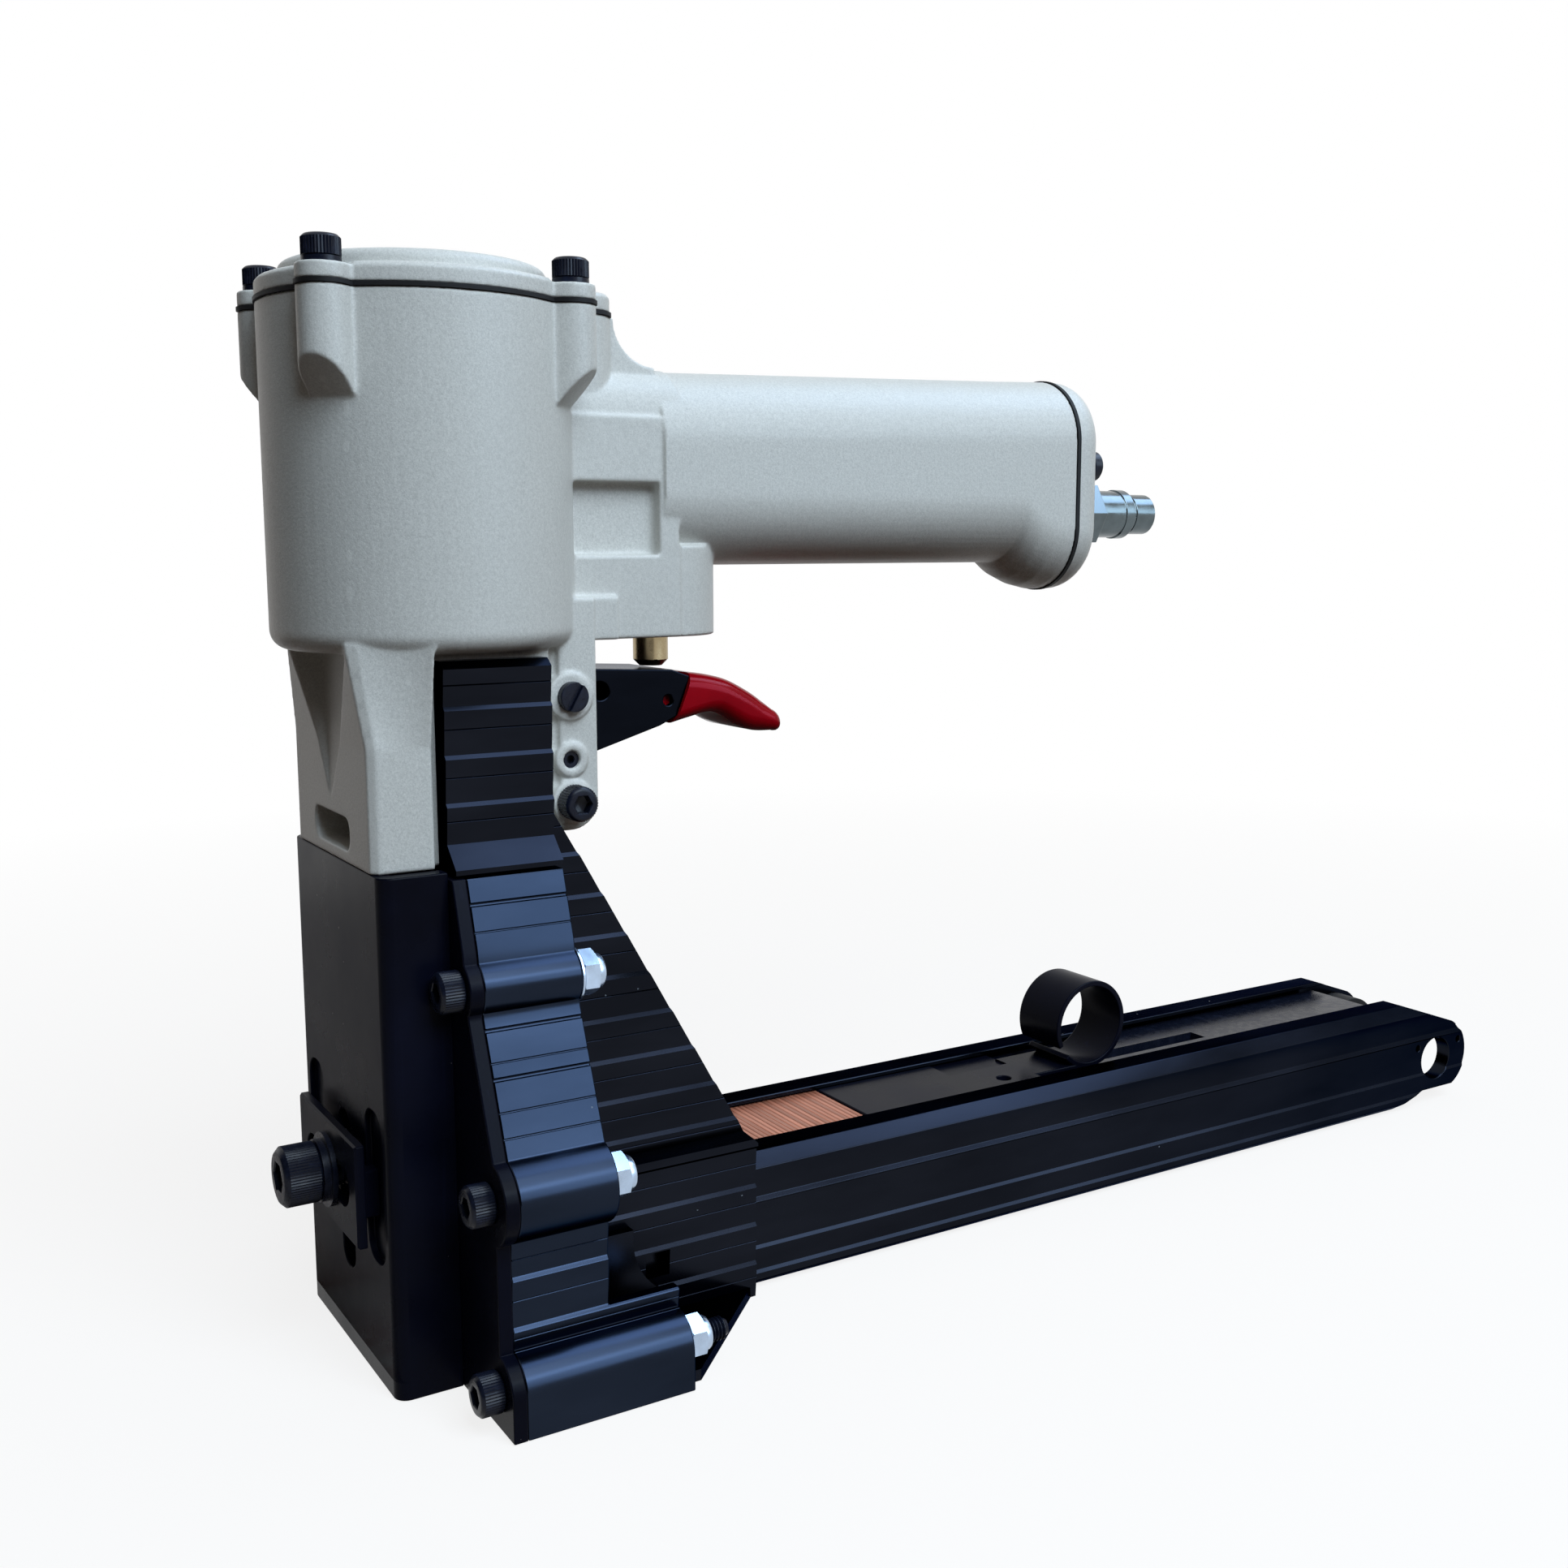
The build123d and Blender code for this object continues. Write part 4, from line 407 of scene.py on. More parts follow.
def moulded_finish(name, rgb, low_rough, high_rough):
    """Rubber or moulded plastic with a fine matt grain."""
    soft = Finish(name)
    fine = soft.noise(1600.0, 3.0)
    haze = soft.noise(90.0, 4.0)
    soft.set(
        base_color=soft.mix(soft.range(haze, 0.35, 0.7, 0.0, 1.0), tint(rgb, 0.8), tint(rgb, 1.6)),
        roughness=soft.range(haze, 0.3, 0.7, low_rough, high_rough),
        specular_ior_level=0.1,
    )
    soft.relief([(fine, 0.18, 0.04 * MM)])
    return soft.material


def finish(name):
    """The finish of that name, made on first use."""
    made = bpy.data.materials.get(FINISH_PREFIX + name)
    if made:
        return made
    rgb = tuple(getattr(bpy.context.scene.stapler_colours, name))
    drawn = (0.05, 1.0, 1.0)
    makers = {
        "cast_paint": cast_finish,
        "black_anodised": lambda c: anodised_finish("black_anodised", c),
        "rail_black": lambda c: anodised_finish("rail_black", c),
        "trigger_black": lambda c: anodised_finish("trigger_black", c),
        "black_paint": paint_finish,
        "black_oxide": oxide_finish,
        "worn_edge": wear_and_highlight_finish,
        "copper_wire": copper_finish,
        "red_grip": vinyl_finish,
        "zinc": lambda c: metal_finish("zinc", c, 0.20, 0.34),
        "plug_steel": lambda c: metal_finish("plug_steel", c, 0.14, 0.26),
        "bare_steel": lambda c: metal_finish("bare_steel", c, 0.28, 0.42, drawn),
        "spring_steel": lambda c: metal_finish("spring_steel", c, 0.28, 0.40, drawn),
        "brass_metal": lambda c: metal_finish("brass_metal", c, 0.22, 0.36),
        "liner_metal": lambda c: metal_finish("liner_metal", c, 0.30, 0.42),
        "gasket_rubber": lambda c: moulded_finish("gasket_rubber", c, 0.5, 0.7),
        "valve_plastic": lambda c: moulded_finish("valve_plastic", c, 0.35, 0.5),
        "flag_card": lambda c: moulded_finish("flag_card", c, 0.8, 0.9),
        "warm_card": lambda c: moulded_finish("warm_card", c, 0.8, 0.9),
    }
    return makers[name](rgb)


# Mesh helpers

def cad_shell(node):
    """A welded copy of a CAD node's mesh."""
    shell = bmesh.new()
    shell.from_mesh(frame["nodes"][node].data)
    bmesh.ops.remove_doubles(shell, verts=shell.verts[:], dist=WELD)
    return shell


def solid_boxes(node):
    """Lowest and highest corner of each solid in a CAD node."""
    shell = cad_shell(node)
    waiting = set(shell.verts)
    boxes = []
    while waiting:
        reach = [waiting.pop()]
        low = reach[0].co.copy()
        high = reach[0].co.copy()
        while reach:
            here = reach.pop()
            low = Vector(map(min, low, here.co))
            high = Vector(map(max, high, here.co))
            for edge in here.link_edges:
                other = edge.other_vert(here)
                if other in waiting:
                    waiting.discard(other)
                    reach.append(other)
        boxes.append((low, high))
    shell.free()
    return sorted(boxes, key=lambda box: tuple(round(value, 5) for value in box[0]))


def new_piece(name, shell, finishes, node):
    """An object from a mesh, with its finishes, that stands for a CAD node and rides on its body."""
    mesh = bpy.data.meshes.new(name)
    shell.to_mesh(mesh)
    shell.free()
    if "custom_normal" in mesh.attributes:
        mesh.attributes.remove(mesh.attributes["custom_normal"])
    mesh.shade_smooth()
    mesh.set_sharp_from_angle(angle=SMOOTH_ANGLE)
    piece = bpy.data.objects.new(name, mesh)
    bpy.context.scene.collection.objects.link(piece)
    mesh.materials.clear()
    for each in finishes:
        mesh.materials.append(finish(each))
    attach(piece, BODY_OF_NODE[node])
    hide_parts(node)
    return piece


def face_width(edge):
    """Width of the narrower of the two faces at an edge, measured from that edge."""
    return min(face.calc_area() for face in edge.link_faces) / edge.calc_length()


def crisp_normals(mesh):
    """Keeps flat faces flat up to their broken edges, and lets those edges turn from one to the other."""
    around = [[] for _ in mesh.vertices]
    for face in mesh.polygons:
        for vert in face.vertices:
            around[vert].append(face)
    normals = []
    for face in mesh.polygons:
        broken = face.material_index == 1
        limit = BEVEL_TURN if broken else FACET_TURN
        for vert in face.vertices:
            plain = [other for other in around[vert] if other.material_index == 0]
            chosen = [other for other in plain if other.normal.dot(face.normal) > limit]
            total = Vector()
            for other in chosen or around[vert]:
                total += other.normal * other.area
            normals.append(total.normalized())
    mesh.normals_split_custom_set(normals)


def edged_copy(node, name, width, main=None):
    """A copy of a CAD node with its sharp edges broken to a width, if any, and a finish of their own."""
    shell = cad_shell(node)
    bmesh.ops.dissolve_limit(
        shell, angle_limit=FLAT_ANGLE, verts=shell.verts[:], edges=shell.edges[:]
    )
    sharp = [
        e for e in shell.edges
        if e.is_manifold and e.calc_face_angle() > SHARP_ANGLE and face_width(e) > NARROW_FACE * width
    ]
    for face in shell.faces:
        face.material_index = 0
    if width:
        bmesh.ops.bevel(
            shell,
            geom=sharp,
            offset=width,
            offset_type="OFFSET",
            segments=2,
            profile=0.5,
            affect="EDGES",
            clamp_overlap=False,
            material=1,
        )
    slot = SLOT_OF_NODE[node]
    # Black pieces get a lighter finish on their broken edges, partly wear and partly a painted highlight
    edge = "worn_edge" if slot in ("black_anodised", "black_paint") else main or slot
    piece = new_piece(name, shell, (main or slot, edge), node)
    crisp_normals(piece.data)


def softened_copy(node, name, cell, passes):
    """A copy of a CAD node as one skin with rounded edges, as a casting has."""
    shell = cad_shell(node)
    for face in shell.faces:
        face.material_index = 0
    piece = new_piece(name, shell, (SLOT_OF_NODE[node],), node)
    skin = piece.modifiers.new("skin", "REMESH")
    skin.mode = "VOXEL"
    skin.voxel_size = cell
    skin.use_smooth_shade = True
    soften = piece.modifiers.new("soften", "SMOOTH")
    soften.factor = 0.5
    soften.iterations = passes
    bpy.context.view_layer.update()
    made = bpy.data.meshes.new_from_object(piece.evaluated_get(bpy.context.evaluated_depsgraph_get()))
    piece.modifiers.clear()
    piece.data = made
    made.name = name
    made.shade_smooth()


def ring(shell, points):
    """A ring of vertices."""
    return [shell.verts.new(point) for point in points]


def skin_rings(shell, rings, capped=True):
    """Quads between rings of equal count, with a cap at each end."""
    for lower, upper in zip(rings, rings[1:]):
        count = len(lower)
        for index in range(count):
            after = (index + 1) % count
            shell.faces.new((lower[index], lower[after], upper[after], upper[index]))
    if capped:
        shell.faces.new(list(reversed(rings[0])))
        shell.faces.new(rings[-1])


def turned_rings(shell, place, rows, count):
    """Rings around a place's Z, one for each radius and level."""
    rings = []
    for reach, level in rows:
        rings.append(ring(shell, [place @ Vector(point) for point in circle(count, reach, level)]))
    return rings


def hex_reach(angle, across):
    """Distance from a hexagon's middle to its side at an angle."""
    return across / 2 / math.cos((angle % (math.pi / 3)) - math.pi / 6)


def circle(count, reach, level):
    """Points of a ring around Z, with a plain radius or one that depends on the angle and place."""
    points = []
    for index in range(count):
        angle = 2 * math.pi * index / count
        radius = reach(angle, index) if callable(reach) else reach
        height = level(angle) if callable(level) else level
        points.append((radius * math.cos(angle), radius * math.sin(angle), height))
    return points


def thread_rows(radius, top, bottom, pitch):
    """Radius and level of each row of a thread, from top to bottom."""
    rows = []
    depth = 0.6 * pitch
    turns = max(1, int((top - bottom) / pitch))
    step = (top - bottom) / turns
    for turn in range(turns):
        level = top - turn * step
        rows += [
            (radius - depth, level - 0.1 * step),
            (radius, level - 0.5 * step),
            (radius, level - 0.6 * step),
        ]
    rows.append((radius - depth, bottom))
    return rows


def socket_screw(shell, place, head, shank, sizes):
    """A screw with a knurled head, a hexagon socket and a threaded shank, its seat at the place's origin.
    The head gives its radius, height and socket width, the shank its radius, length and plain length."""
    radius, height, across = head
    stem, reach, plain = shank
    teeth = max(16, round(2 * math.pi * radius / sizes.knurl_pitch))
    count = 2 * teeth
    rim = 0.09 * radius

    def knurl(angle, index):
        return radius - (sizes.knurl_depth if index % 2 else 0.0)

    def socket(angle, index):
        return hex_reach(angle, across)

    def socket_mouth(angle, index):
        return hex_reach(angle, across * 1.08)

    rows = [(stem * 0.7, -reach)]
    rows += list(reversed(thread_rows(stem, -plain, -reach + 0.3 * stem, sizes.thread_pitch)))
    rows += [
        (stem, -plain),
        (stem, 0.0),
        (radius - rim, 0.0),
        (knurl, 0.8 * rim),
        (knurl, height - 1.9 * rim),
        (radius - rim, height - 0.9 * rim),
        (radius - 1.8 * rim, height - 0.15 * rim),
        (radius - 2.4 * rim, height),
        (socket_mouth, height),
        (socket, height - 0.05 * across),
        (socket, height - 0.5 * height),
        (0.12 * across, height - 0.58 * height),
    ]
    skin_rings(shell, turned_rings(shell, place, rows, count))


def axis_place(spot, along):
    """A place at a spot whose Z runs along a direction."""
    return Matrix.Translation(spot) @ along.to_track_quat("Z", "Y").to_matrix().to_4x4()


def screw_group(name, node, along, head_height, socket_share, stem_share, plain_share):
    """Detailed screws in place of a CAD node's solids. The direction points from the seat to the head,
    and may be given for each solid by its box."""
    sizes = bpy.context.scene.stapler_sizes
    shell = bmesh.new()
    for low, high in solid_boxes(node):
        axis = along(low, high) if callable(along) else along
        middle = (low + high) / 2
        half = (high - low) / 2
        run = sum(abs(axis[i]) * half[i] for i in range(3)) * 2
        radius = max(half[i] for i in range(3) if abs(axis[i]) < 0.5)
        seat = middle + axis * (run / 2 - head_height)
        grip = run - head_height
        stem = radius * stem_share
        socket_screw(
            shell,
            axis_place(seat, axis),
            (radius, head_height, 2 * radius * socket_share),
            (stem, grip, grip * plain_share),
            sizes,
        )
    new_piece(name, shell, (SLOT_OF_NODE[node],), node)


# Operators, one for each piece or group of like pieces

class STAPLER_OT_stage(bpy.types.Operator):
    """Sets the camera, the lamps, the floor and the white surround"""

    bl_idname = "stapler.stage"
    bl_label = "Stage"

    def execute(self, context):
        colours = context.scene.stapler_colours
        context.scene.view_settings.view_transform = "Standard"
        self.camera(context)
        self.floor(context, colours)
        self.surround(context, colours)
        for name, settings in LAMPS.items():
            self.lamp(name, *settings)
        for name, settings in CARDS.items():
            self.card(name, *settings)
        return {"FINISHED"}

    def camera(self, context):
        """The photograph's viewing angle."""
        turn = math.radians(-31.673)
        rise = math.radians(8.342)
        roll = math.radians(-0.079)
        back = Vector((math.sin(turn) * math.cos(rise), -math.cos(turn) * math.cos(rise), math.sin(rise)))
        right = Vector((math.cos(turn), math.sin(turn), 0.0))
        up = back.cross(right)
        across = right * math.cos(roll) + up * math.sin(roll)
        upright = up * math.cos(roll) - right * math.sin(roll)
        lens = bpy.data.cameras.new("camera")
        lens.sensor_width = 36.0
        lens.lens = 37.79
        lens.clip_start = 0.01
        lens.clip_end = 50.0
        view = bpy.data.objects.new("camera", lens)
        context.scene.collection.objects.link(view)
        turned = Matrix((across, upright, back)).transposed().to_4x4()
        spot = Vector((-0.264545, -0.33709, 0.173061))
        view.matrix_world = Matrix.Translation(spot) @ turned
        context.scene.camera = view

    def lamp(self, name, direction, distance, size, power, rgb, gloss_only):
        """A soft box that faces the object."""
        away = Vector(direction).normalized()
        box = bpy.data.lights.new(name, "AREA")
        box.shape = "RECTANGLE"
        box.size = size[0]
        box.size_y = size[1]
        box.energy = power
        box.color = rgb
        holder = bpy.data.objects.new(name, box)
        bpy.context.scene.collection.objects.link(holder)
        holder.matrix_world = axis_place(LAMP_AIM + away * distance, away)
        holder.visible_camera = False
        holder.visible_diffuse = not gloss_only

    def card(self, name, middle, facing, size, card_finish, gloss_only):
        """A card that the camera does not see, for gloss to show."""
        shell = bmesh.new()
        bmesh.ops.create_grid(shell, x_segments=4, y_segments=4, size=0.5)
        bmesh.ops.scale(shell, verts=shell.verts[:], vec=(size[0], size[1], 1.0))
        mesh = bpy.data.meshes.new(name)
        shell.to_mesh(mesh)
        shell.free()
        card = bpy.data.objects.new(name, mesh)
        bpy.context.scene.collection.objects.link(card)
        card.matrix_world = axis_place(Vector(middle), Vector(facing).normalized())
        card.visible_camera = False
        card.visible_diffuse = not gloss_only
        card.visible_shadow = not gloss_only
        mesh.materials.append(finish(card_finish))

    def floor(self, context, colours):
        """A wide pale floor that keeps the object's shadow and fades to white."""
        shell = bmesh.new()
        bmesh.ops.create_circle(shell, cap_ends=True, radius=6.0, segments=96)
        bmesh.ops.translate(shell, verts=shell.verts[:], vec=(0.0, 0.0, -0.2 * MM))
        mesh = bpy.data.meshes.new("floor")
        shell.to_mesh(mesh)
        shell.free()
        board = bpy.data.objects.new("floor", mesh)
        context.scene.collection.objects.link(board)
        paper = Finish("floor_paper")
        path = paper.add("ShaderNodeLightPath").outputs
        seen = paper.math("ADD", path["Is Camera Ray"], path["Is Glossy Ray"])
        seen = paper.math("MINIMUM", paper.math("ADD", seen, path["Is Transmission Ray"]), 1.0)
        bounce = paper.add("ShaderNodeBsdfDiffuse")
        bounce.inputs["Color"].default_value = tint(colours.floor_bounce)
        white = paper.add("ShaderNodeBsdfDiffuse")
        white.inputs["Color"].default_value = tint(colours.floor_white)
        glow = paper.add("ShaderNodeEmission")
        glow.inputs["Color"].default_value = tint((1.0, 1.0, 1.0))
        reach = paper.add("ShaderNodeVectorMath", operation="LENGTH")
        paper.put(paper.place, reach.inputs[0])
        fade_from = 0.2
        fade_to = 0.75
        least_glow = 0.83
        fade = paper.range(reach.outputs["Value"], fade_from, fade_to, least_glow, 1.0)
        shown = paper.add("ShaderNodeMixShader")
        paper.put(fade, shown.inputs[0])
        paper.put(white.outputs[0], shown.inputs[1])
        paper.put(glow.outputs[0], shown.inputs[2])
        both = paper.add("ShaderNodeMixShader")
        paper.put(seen, both.inputs[0])
        paper.put(bounce.outputs[0], both.inputs[1])
        paper.put(shown.outputs[0], both.inputs[2])
        paper.put(both.outputs[0], paper.tree.nodes["Material Output"].inputs["Surface"])
        paper.tree.nodes.remove(paper.shader)
        mesh.materials.append(paper.material)

    def surround(self, context, colours):
        """White for the camera and for reflections, a dim tinted sky for the soft light."""
        world = bpy.data.worlds.new("surround")
        world.use_nodes = True
        context.scene.world = world
        tree = world.node_tree
        tree.nodes.clear()
        place = tree.nodes.new("ShaderNodeTexCoord")
        parts = tree.nodes.new("ShaderNodeSeparateXYZ")
        tree.links.new(place.outputs["Generated"], parts.inputs["Vector"])
        height = tree.nodes.new("ShaderNodeMapRange")
        height.inputs["From Min"].default_value = -0.1
        height.inputs["From Max"].default_value = 0.7
        tree.links.new(parts.outputs["Z"], height.inputs["Value"])
        blend = tree.nodes.new("ShaderNodeMix")
        blend.data_type = "RGBA"
        tree.links.new(height.outputs["Result"], blend.inputs["Factor"])
        blend.inputs[MIX_FIRST].default_value = tint(colours.ground_tint)
        blend.inputs[MIX_SECOND].default_value = tint(colours.sky_tint)
        sky = tree.nodes.new("ShaderNodeBackground")
        tree.links.new(blend.outputs[MIX_RESULT], sky.inputs["Color"])
        white = tree.nodes.new("ShaderNodeBackground")
        white.inputs["Color"].default_value = tint((1.0, 1.0, 1.0))
        path = tree.nodes.new("ShaderNodeLightPath").outputs
        first = tree.nodes.new("ShaderNodeMath")
        second = tree.nodes.new("ShaderNodeMath")
        second.use_clamp = True
        tree.links.new(path["Is Camera Ray"], first.inputs[0])
        tree.links.new(path["Is Glossy Ray"], first.inputs[1])
        tree.links.new(first.outputs[0], second.inputs[0])
        tree.links.new(path["Is Transmission Ray"], second.inputs[1])
        both = tree.nodes.new("ShaderNodeMixShader")
        tree.links.new(second.outputs[0], both.inputs[0])
        tree.links.new(sky.outputs[0], both.inputs[1])
        tree.links.new(white.outputs[0], both.inputs[2])
        out = tree.nodes.new("ShaderNodeOutputWorld")
        tree.links.new(both.outputs[0], out.inputs["Surface"])


class STAPLER_OT_castings(bpy.types.Operator):
    """Gives the body and its two caps the soft edges and the paint of castings"""

    bl_idname = "stapler.castings"
    bl_label = "Castings"

    def execute(self, context):
        sizes = context.scene.stapler_sizes
        softened_copy("body_casting", "cast_body", sizes.casting_cell, sizes.casting_passes)
        softened_copy("top_cap", "cast_top_cap", sizes.cap_cell, sizes.cap_passes)
        softened_copy("handle_end_cap", "cast_end_cap", sizes.cap_cell, sizes.cap_passes)
        return {"FINISHED"}


class STAPLER_OT_plates(bpy.types.Operator):
    """Breaks the edges of the black plates, rails, nose, trigger and pusher"""

    bl_idname = "stapler.plates"
    bl_label = "Black plates"

    def execute(self, context):
        sizes = context.scene.stapler_sizes
        names = {
            "wing_plate_right": "ribbed_wing_right",
            "wing_plate_left": "ribbed_wing_left",
            "clincher_cover_right": "ribbed_cover_right",
            "clincher_cover_left": "ribbed_cover_left",
            "magazine_rail_right": "drawn_rail_right",
            "magazine_rail_left": "drawn_rail_left",
            "nose_cover": "painted_nose",
            "stop_plate": "painted_stop_plate",
            "front_plate": "painted_front_plate",
            "trigger": "bent_trigger",
            "pusher": "rolled_pusher",
        }
        # Wings and rails take the darker copy of the anodising, which is painted shade
        blacks = {node: "rail_black" for node in names if "rail" in node or "wing" in node}
        blacks["trigger"] = "trigger_black"
        for node, name in names.items():
            width = 0.0 if "wing" in node else sizes.plate_edge
            edged_copy(node, name, width, blacks.get(node))
        return {"FINISHED"}


class STAPLER_OT_screws(bpy.types.Operator):
    """Puts knurled socket screws with threads in place of the plain ones"""

    bl_idname = "stapler.screws"
    bl_label = "Socket screws"

    def execute(self, context):
        up = Vector((0.0, 0.0, 1.0))
        front = Vector((-1.0, 0.0, 0.0))

        def outward(low, high):
            return Vector((0.0, math.copysign(1.0, (low + high).y), 0.0))

        # After the direction: head height, then the shares of socket width, shank and plain length
        screw_group("knurled_cap_screws", "cap_screws", up, 4.1 * MM, 0.42, 0.53, 0.3)
        screw_group("knurled_housing_bolts", "housing_bolts", front, 5.0 * MM, 0.47, 0.58, 0.55)
        screw_group("knurled_ear_bolts", "ear_bolts", outward, 5.0 * MM, 0.48, 0.58, 0.3)
        screw_group("knurled_stop_bolt", "stop_bolt", front, 8.0 * MM, 0.47, 0.6, 0.3)
        return {"FINISHED"}


class STAPLER_OT_staples(bpy.types.Operator):
    """Lays the strip of staples as single copper wires"""

    bl_idname = "stapler.staples"
    bl_label = "Staples"

    def execute(self, context):
        sizes = context.scene.stapler_sizes
        low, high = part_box("staples")
        count = max(1, round((high.x - low.x) / sizes.staple_pitch))
        pitch = (high.x - low.x) / count
        half = (pitch - sizes.staple_gap) / 2
        thick = sizes.staple_height / 2
        round_off = 0.3 * thick
        bend = 1.2 * thick
        bend_steps = 4
        line = []
        for side in (-1, 1):
            foot = [(side * (high.y - thick), low.z)]
            for step in range(bend_steps + 1):
                angle = math.pi / 2 * step / bend_steps
                foot.append((
                    side * (high.y - thick - bend + bend * math.cos(angle)),
                    high.z - thick - bend + bend * math.sin(angle),
                ))
            line += foot if side < 0 else list(reversed(foot))
        section = [
            (-half, -thick + round_off), (-half + round_off, -thick), (half - round_off, -thick),
            (half, -thick + round_off), (half, thick - round_off), (half - round_off, thick),
            (-half + round_off, thick), (-half, thick - round_off),
        ]
        shell = bmesh.new()
        for index in range(count):
            middle = low.x + pitch * (index + 0.5)
            self.wire(shell, middle, line, section)
        new_piece("copper_staples", shell, ("copper_wire",), "staples")
        return {"FINISHED"}

    def wire(self, shell, middle, line, section):
        """One wire along a line in the cross plane."""
        rings = []
        for index, (y, z) in enumerate(line):
            before = line[max(0, index - 1)]
            after = line[min(len(line) - 1, index + 1)]
            run = Vector((after[0] - before[0], after[1] - before[1])).normalized()
            out = Vector((-run.y, run.x))
            rings.append(ring(shell, [(middle + a, y + b * out.x, z + b * out.y) for a, b in section]))
        skin_rings(shell, rings)


class STAPLER_OT_nuts(bpy.types.Operator):
    """Puts lock nuts with a rolled collar and rounded washers in place of the plain ones"""

    bl_idname = "stapler.nuts"
    bl_label = "Lock nuts"

    def execute(self, context):
        shell = bmesh.new()
        for low, high in solid_boxes("housing_nuts"):
            middle = (low + high) / 2
            across = min(high.y - low.y, high.z - low.z)
            turned = high.y - low.y < high.z - low.z
            place = axis_place(Vector((low.x, middle.y, middle.z)), Vector((1.0, 0.0, 0.0)))
            self.nut(shell, place, across, high.x - low.x, turned)
        new_piece("collared_lock_nuts", shell, ("zinc",), "housing_nuts")
        shell = bmesh.new()
        flare = 0.7 * MM
        for low, high in solid_boxes("housing_washers"):
            middle = (low + high) / 2
            place = axis_place(Vector((low.x, middle.y, middle.z)), Vector((1.0, 0.0, 0.0)))
            self.washer(shell, place, (high.z - low.z) / 2 + flare, high.x - low.x)
        new_piece("rolled_washers", shell, ("zinc",), "housing_washers")
        return {"FINISHED"}

    def washer(self, shell, place, radius, height):
        """One washer with a rounded rim and a bore for the bolt."""
        rim = 0.3 * height
        bore = 0.55 * radius
        rows = [(bore, 0.0), (radius - rim, 0.0), (radius, rim), (radius, height - rim)]
        rows += [(radius - rim, height), (bore, height)]
        rings = turned_rings(shell, place, rows, ROUND_STEPS)
        skin_rings(shell, rings + rings[:1], capped=False)

    def nut(self, shell, place, across, height, turned):
        """One nut from its seat to the rim of its collar."""
        hexagon = height * 0.71
        flat = across / 2
        plain = 0.97 * flat
        slope = math.tan(math.radians(30))
        shift = math.pi / 6 if turned else 0.0

        def side(angle, index):
            return hex_reach(angle + shift, across)

        def crown(angle):
            return hexagon - max(0.0, hex_reach(angle + shift, across) - plain) * slope

        def foot(angle):
            return max(0.0, hex_reach(angle + shift, across) - plain) * slope

        rows = [
            (0.62 * flat, 0.0),
            (0.95 * flat, 0.0),
            (side, foot),
            (side, crown),
            (0.95 * flat, hexagon),
            (0.86 * flat, hexagon + 0.04 * height),
            (0.84 * flat, height - 0.08 * height),
            (0.78 * flat, height - 0.01 * height),
            (0.70 * flat, height),
            (0.64 * flat, height - 0.04 * height),
            (0.62 * flat, height - 0.14 * height),
        ]
        rings = turned_rings(shell, place, rows, ROUND_STEPS)
        skin_rings(shell, rings + rings[:1], capped=False)


class STAPLER_OT_grip(bpy.types.Operator):
    """Gives the trigger its dipped red grip"""

    bl_idname = "stapler.grip"
    bl_label = "Trigger grip"

    def execute(self, context):
        sizes = context.scene.stapler_sizes
        solid = cad_shell("trigger_grip")
        tree = BVHTree.FromBMesh(solid)
        solid.free()
        low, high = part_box("trigger_grip")
        half = (high.y - low.y) / 2
        start = low.x + sizes.grip_start
        tongue = 0.76 * half
        shell = bmesh.new()
        self.sweep(shell, tree, (start - sizes.grip_slant, start), high.x, half, sizes)
        self.sweep(shell, tree, (low.x + 0.1 * MM,) * 2, start + MM, tongue, sizes)
        new_piece("dipped_grip", shell, ("red_grip",), "trigger_grip")
        return {"FINISHED"}

    def sweep(self, shell, tree, starts, end, half, sizes):
        """Rounded sections from a slanted start to a round end, between the solid's two outlines."""
        count = 64
        nose = 2.7 * MM
        nose_steps = 6
        nose_turn = math.radians(14)
        far = 1.0
        lower = []
        upper = []
        for index in range(count):
            share = index / (count - 1)
            for start, row, side in ((starts[0], lower, -1), (starts[1], upper, 1)):
                x = start + (end - nose - start) * share
                hit = tree.ray_cast(Vector((x, 0.0, side * far)), Vector((0.0, 0.0, -side)))[0]
                if hit is None:
                    raise RuntimeError("the grip's outline was not found")
                row.append(Vector((x, hit.z)))
        for row in (lower, upper):
            for _ in range(sizes.grip_passes):
                row[1:-1] = [(a + 2 * b + c) / 4 for a, b, c in zip(row, row[1:], row[2:])]
        rings = [self.section(shell, a, b, half, sizes.grip_round) for a, b in zip(lower, upper)]
        run = ((lower[-1] + upper[-1]) - (lower[-3] + upper[-3])).normalized()
        middle = (lower[-1] + upper[-1]) / 2
        for step in range(1, nose_steps + 1):
            angle = nose_turn * step
            ahead = middle + run * nose * math.sin(angle)
            reach = (upper[-1] - middle) * math.cos(angle)
            inset = nose * (1 - math.cos(angle))
            rings.append(self.section(shell, ahead - reach, ahead + reach, half - inset, sizes.grip_round))
        skin_rings(shell, rings)

    def section(self, shell, low, high, half, round_off):
        """One rounded section between a lower and an upper point."""
        tall = (high - low).length
        radius = min(round_off, 0.48 * tall)
        quarter_steps = 6
        points = []
        for across, along, first in ((1, 1, 0), (-1, 1, 90), (-1, -1, 180), (1, -1, 270)):
            for step in range(quarter_steps + 1):
                angle = math.radians(first + 90 / quarter_steps * step)
                y = across * (half - radius) + radius * math.cos(angle)
                share = 0.5 + (along * (tall / 2 - radius) + radius * math.sin(angle)) / tall
                spot = low + (high - low) * share
                points.append((spot.x, y, spot.y))
        return ring(shell, points)


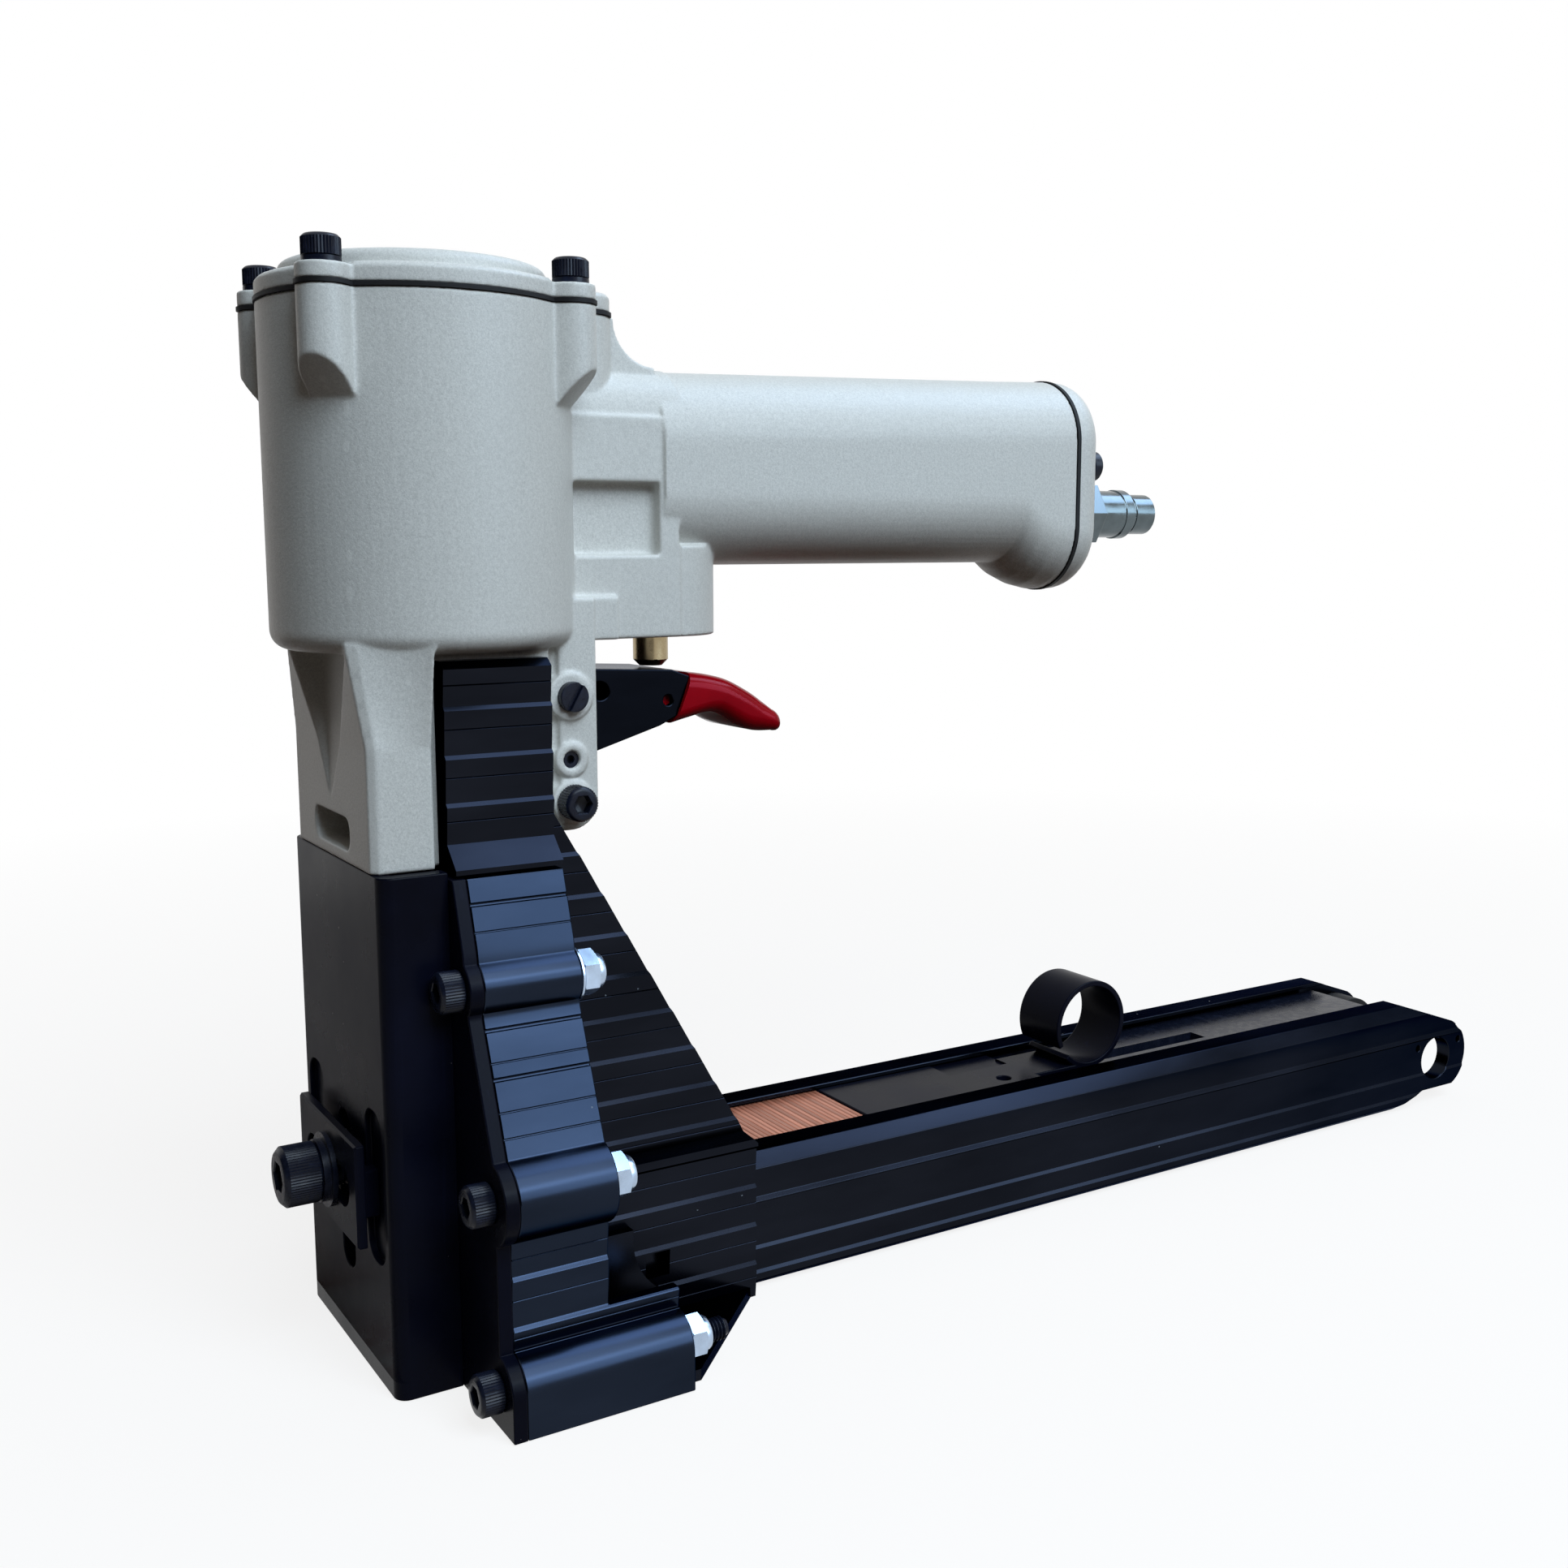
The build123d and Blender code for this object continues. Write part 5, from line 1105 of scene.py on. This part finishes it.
class STAPLER_OT_turned(bpy.types.Operator):
    """Breaks the edges of the air plug, pivot, valve stem, buffer and end screws"""

    bl_idname = "stapler.turned"
    bl_label = "Turned pieces"

    def execute(self, context):
        sizes = context.scene.stapler_sizes
        names = {
            "air_plug": "turned_air_plug",
            "trigger_pivot": "slotted_pivot",
            "valve_stem": "turned_valve_stem",
            "end_buffer": "moulded_buffer",
            "end_cap_screws": "button_end_screws",
        }
        for node, name in names.items():
            edged_copy(node, name, sizes.small_edge, "plug_steel" if node == "air_plug" else None)
        return {"FINISHED"}


class STAPLER_OT_finishes(bpy.types.Operator):
    """Gives every solid that stays as it is the finish of its slot"""

    bl_idname = "stapler.finishes"
    bl_label = "Finishes of the plain solids"

    def execute(self, context):
        for node, solid in frame["nodes"].items():
            if solid.hide_render:
                continue
            solid.data.materials.clear()
            solid.data.materials.append(finish(SLOT_OF_NODE[node]))
        return {"FINISHED"}


class STAPLER_PT_looks(bpy.types.Panel):
    """Sizes, colours and steps of the stapler's looks"""

    bl_idname = "STAPLER_PT_looks"
    bl_label = "Carton stapler"
    bl_space_type = "VIEW_3D"
    bl_region_type = "UI"
    bl_category = "Stapler"

    def draw(self, context):
        layout = self.layout
        for step in STEPS:
            layout.operator(step.bl_idname)
        for group in (context.scene.stapler_sizes, context.scene.stapler_colours):
            box = layout.box()
            for key in group.__annotations__:
                box.prop(group, key)


STEPS = (
    STAPLER_OT_stage,
    STAPLER_OT_castings,
    STAPLER_OT_plates,
    STAPLER_OT_screws,
    STAPLER_OT_nuts,
    STAPLER_OT_staples,
    STAPLER_OT_grip,
    STAPLER_OT_turned,
    STAPLER_OT_finishes,
)
CLASSES = (StaplerSizes, StaplerColours) + STEPS + (STAPLER_PT_looks,)


def register():
    for each in CLASSES:
        bpy.utils.register_class(each)
    bpy.types.Scene.stapler_sizes = PointerProperty(type=StaplerSizes)
    bpy.types.Scene.stapler_colours = PointerProperty(type=StaplerColours)


def unregister():
    del bpy.types.Scene.stapler_colours
    del bpy.types.Scene.stapler_sizes
    for each in reversed(CLASSES):
        bpy.utils.unregister_class(each)


def main():
    register()
    bpy.ops.stapler.stage()
    bpy.ops.stapler.castings()
    bpy.ops.stapler.plates()
    bpy.ops.stapler.screws()
    bpy.ops.stapler.nuts()
    bpy.ops.stapler.staples()
    bpy.ops.stapler.grip()
    bpy.ops.stapler.turned()
    bpy.ops.stapler.finishes()
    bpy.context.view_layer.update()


if __name__ == "__main__":
    main()
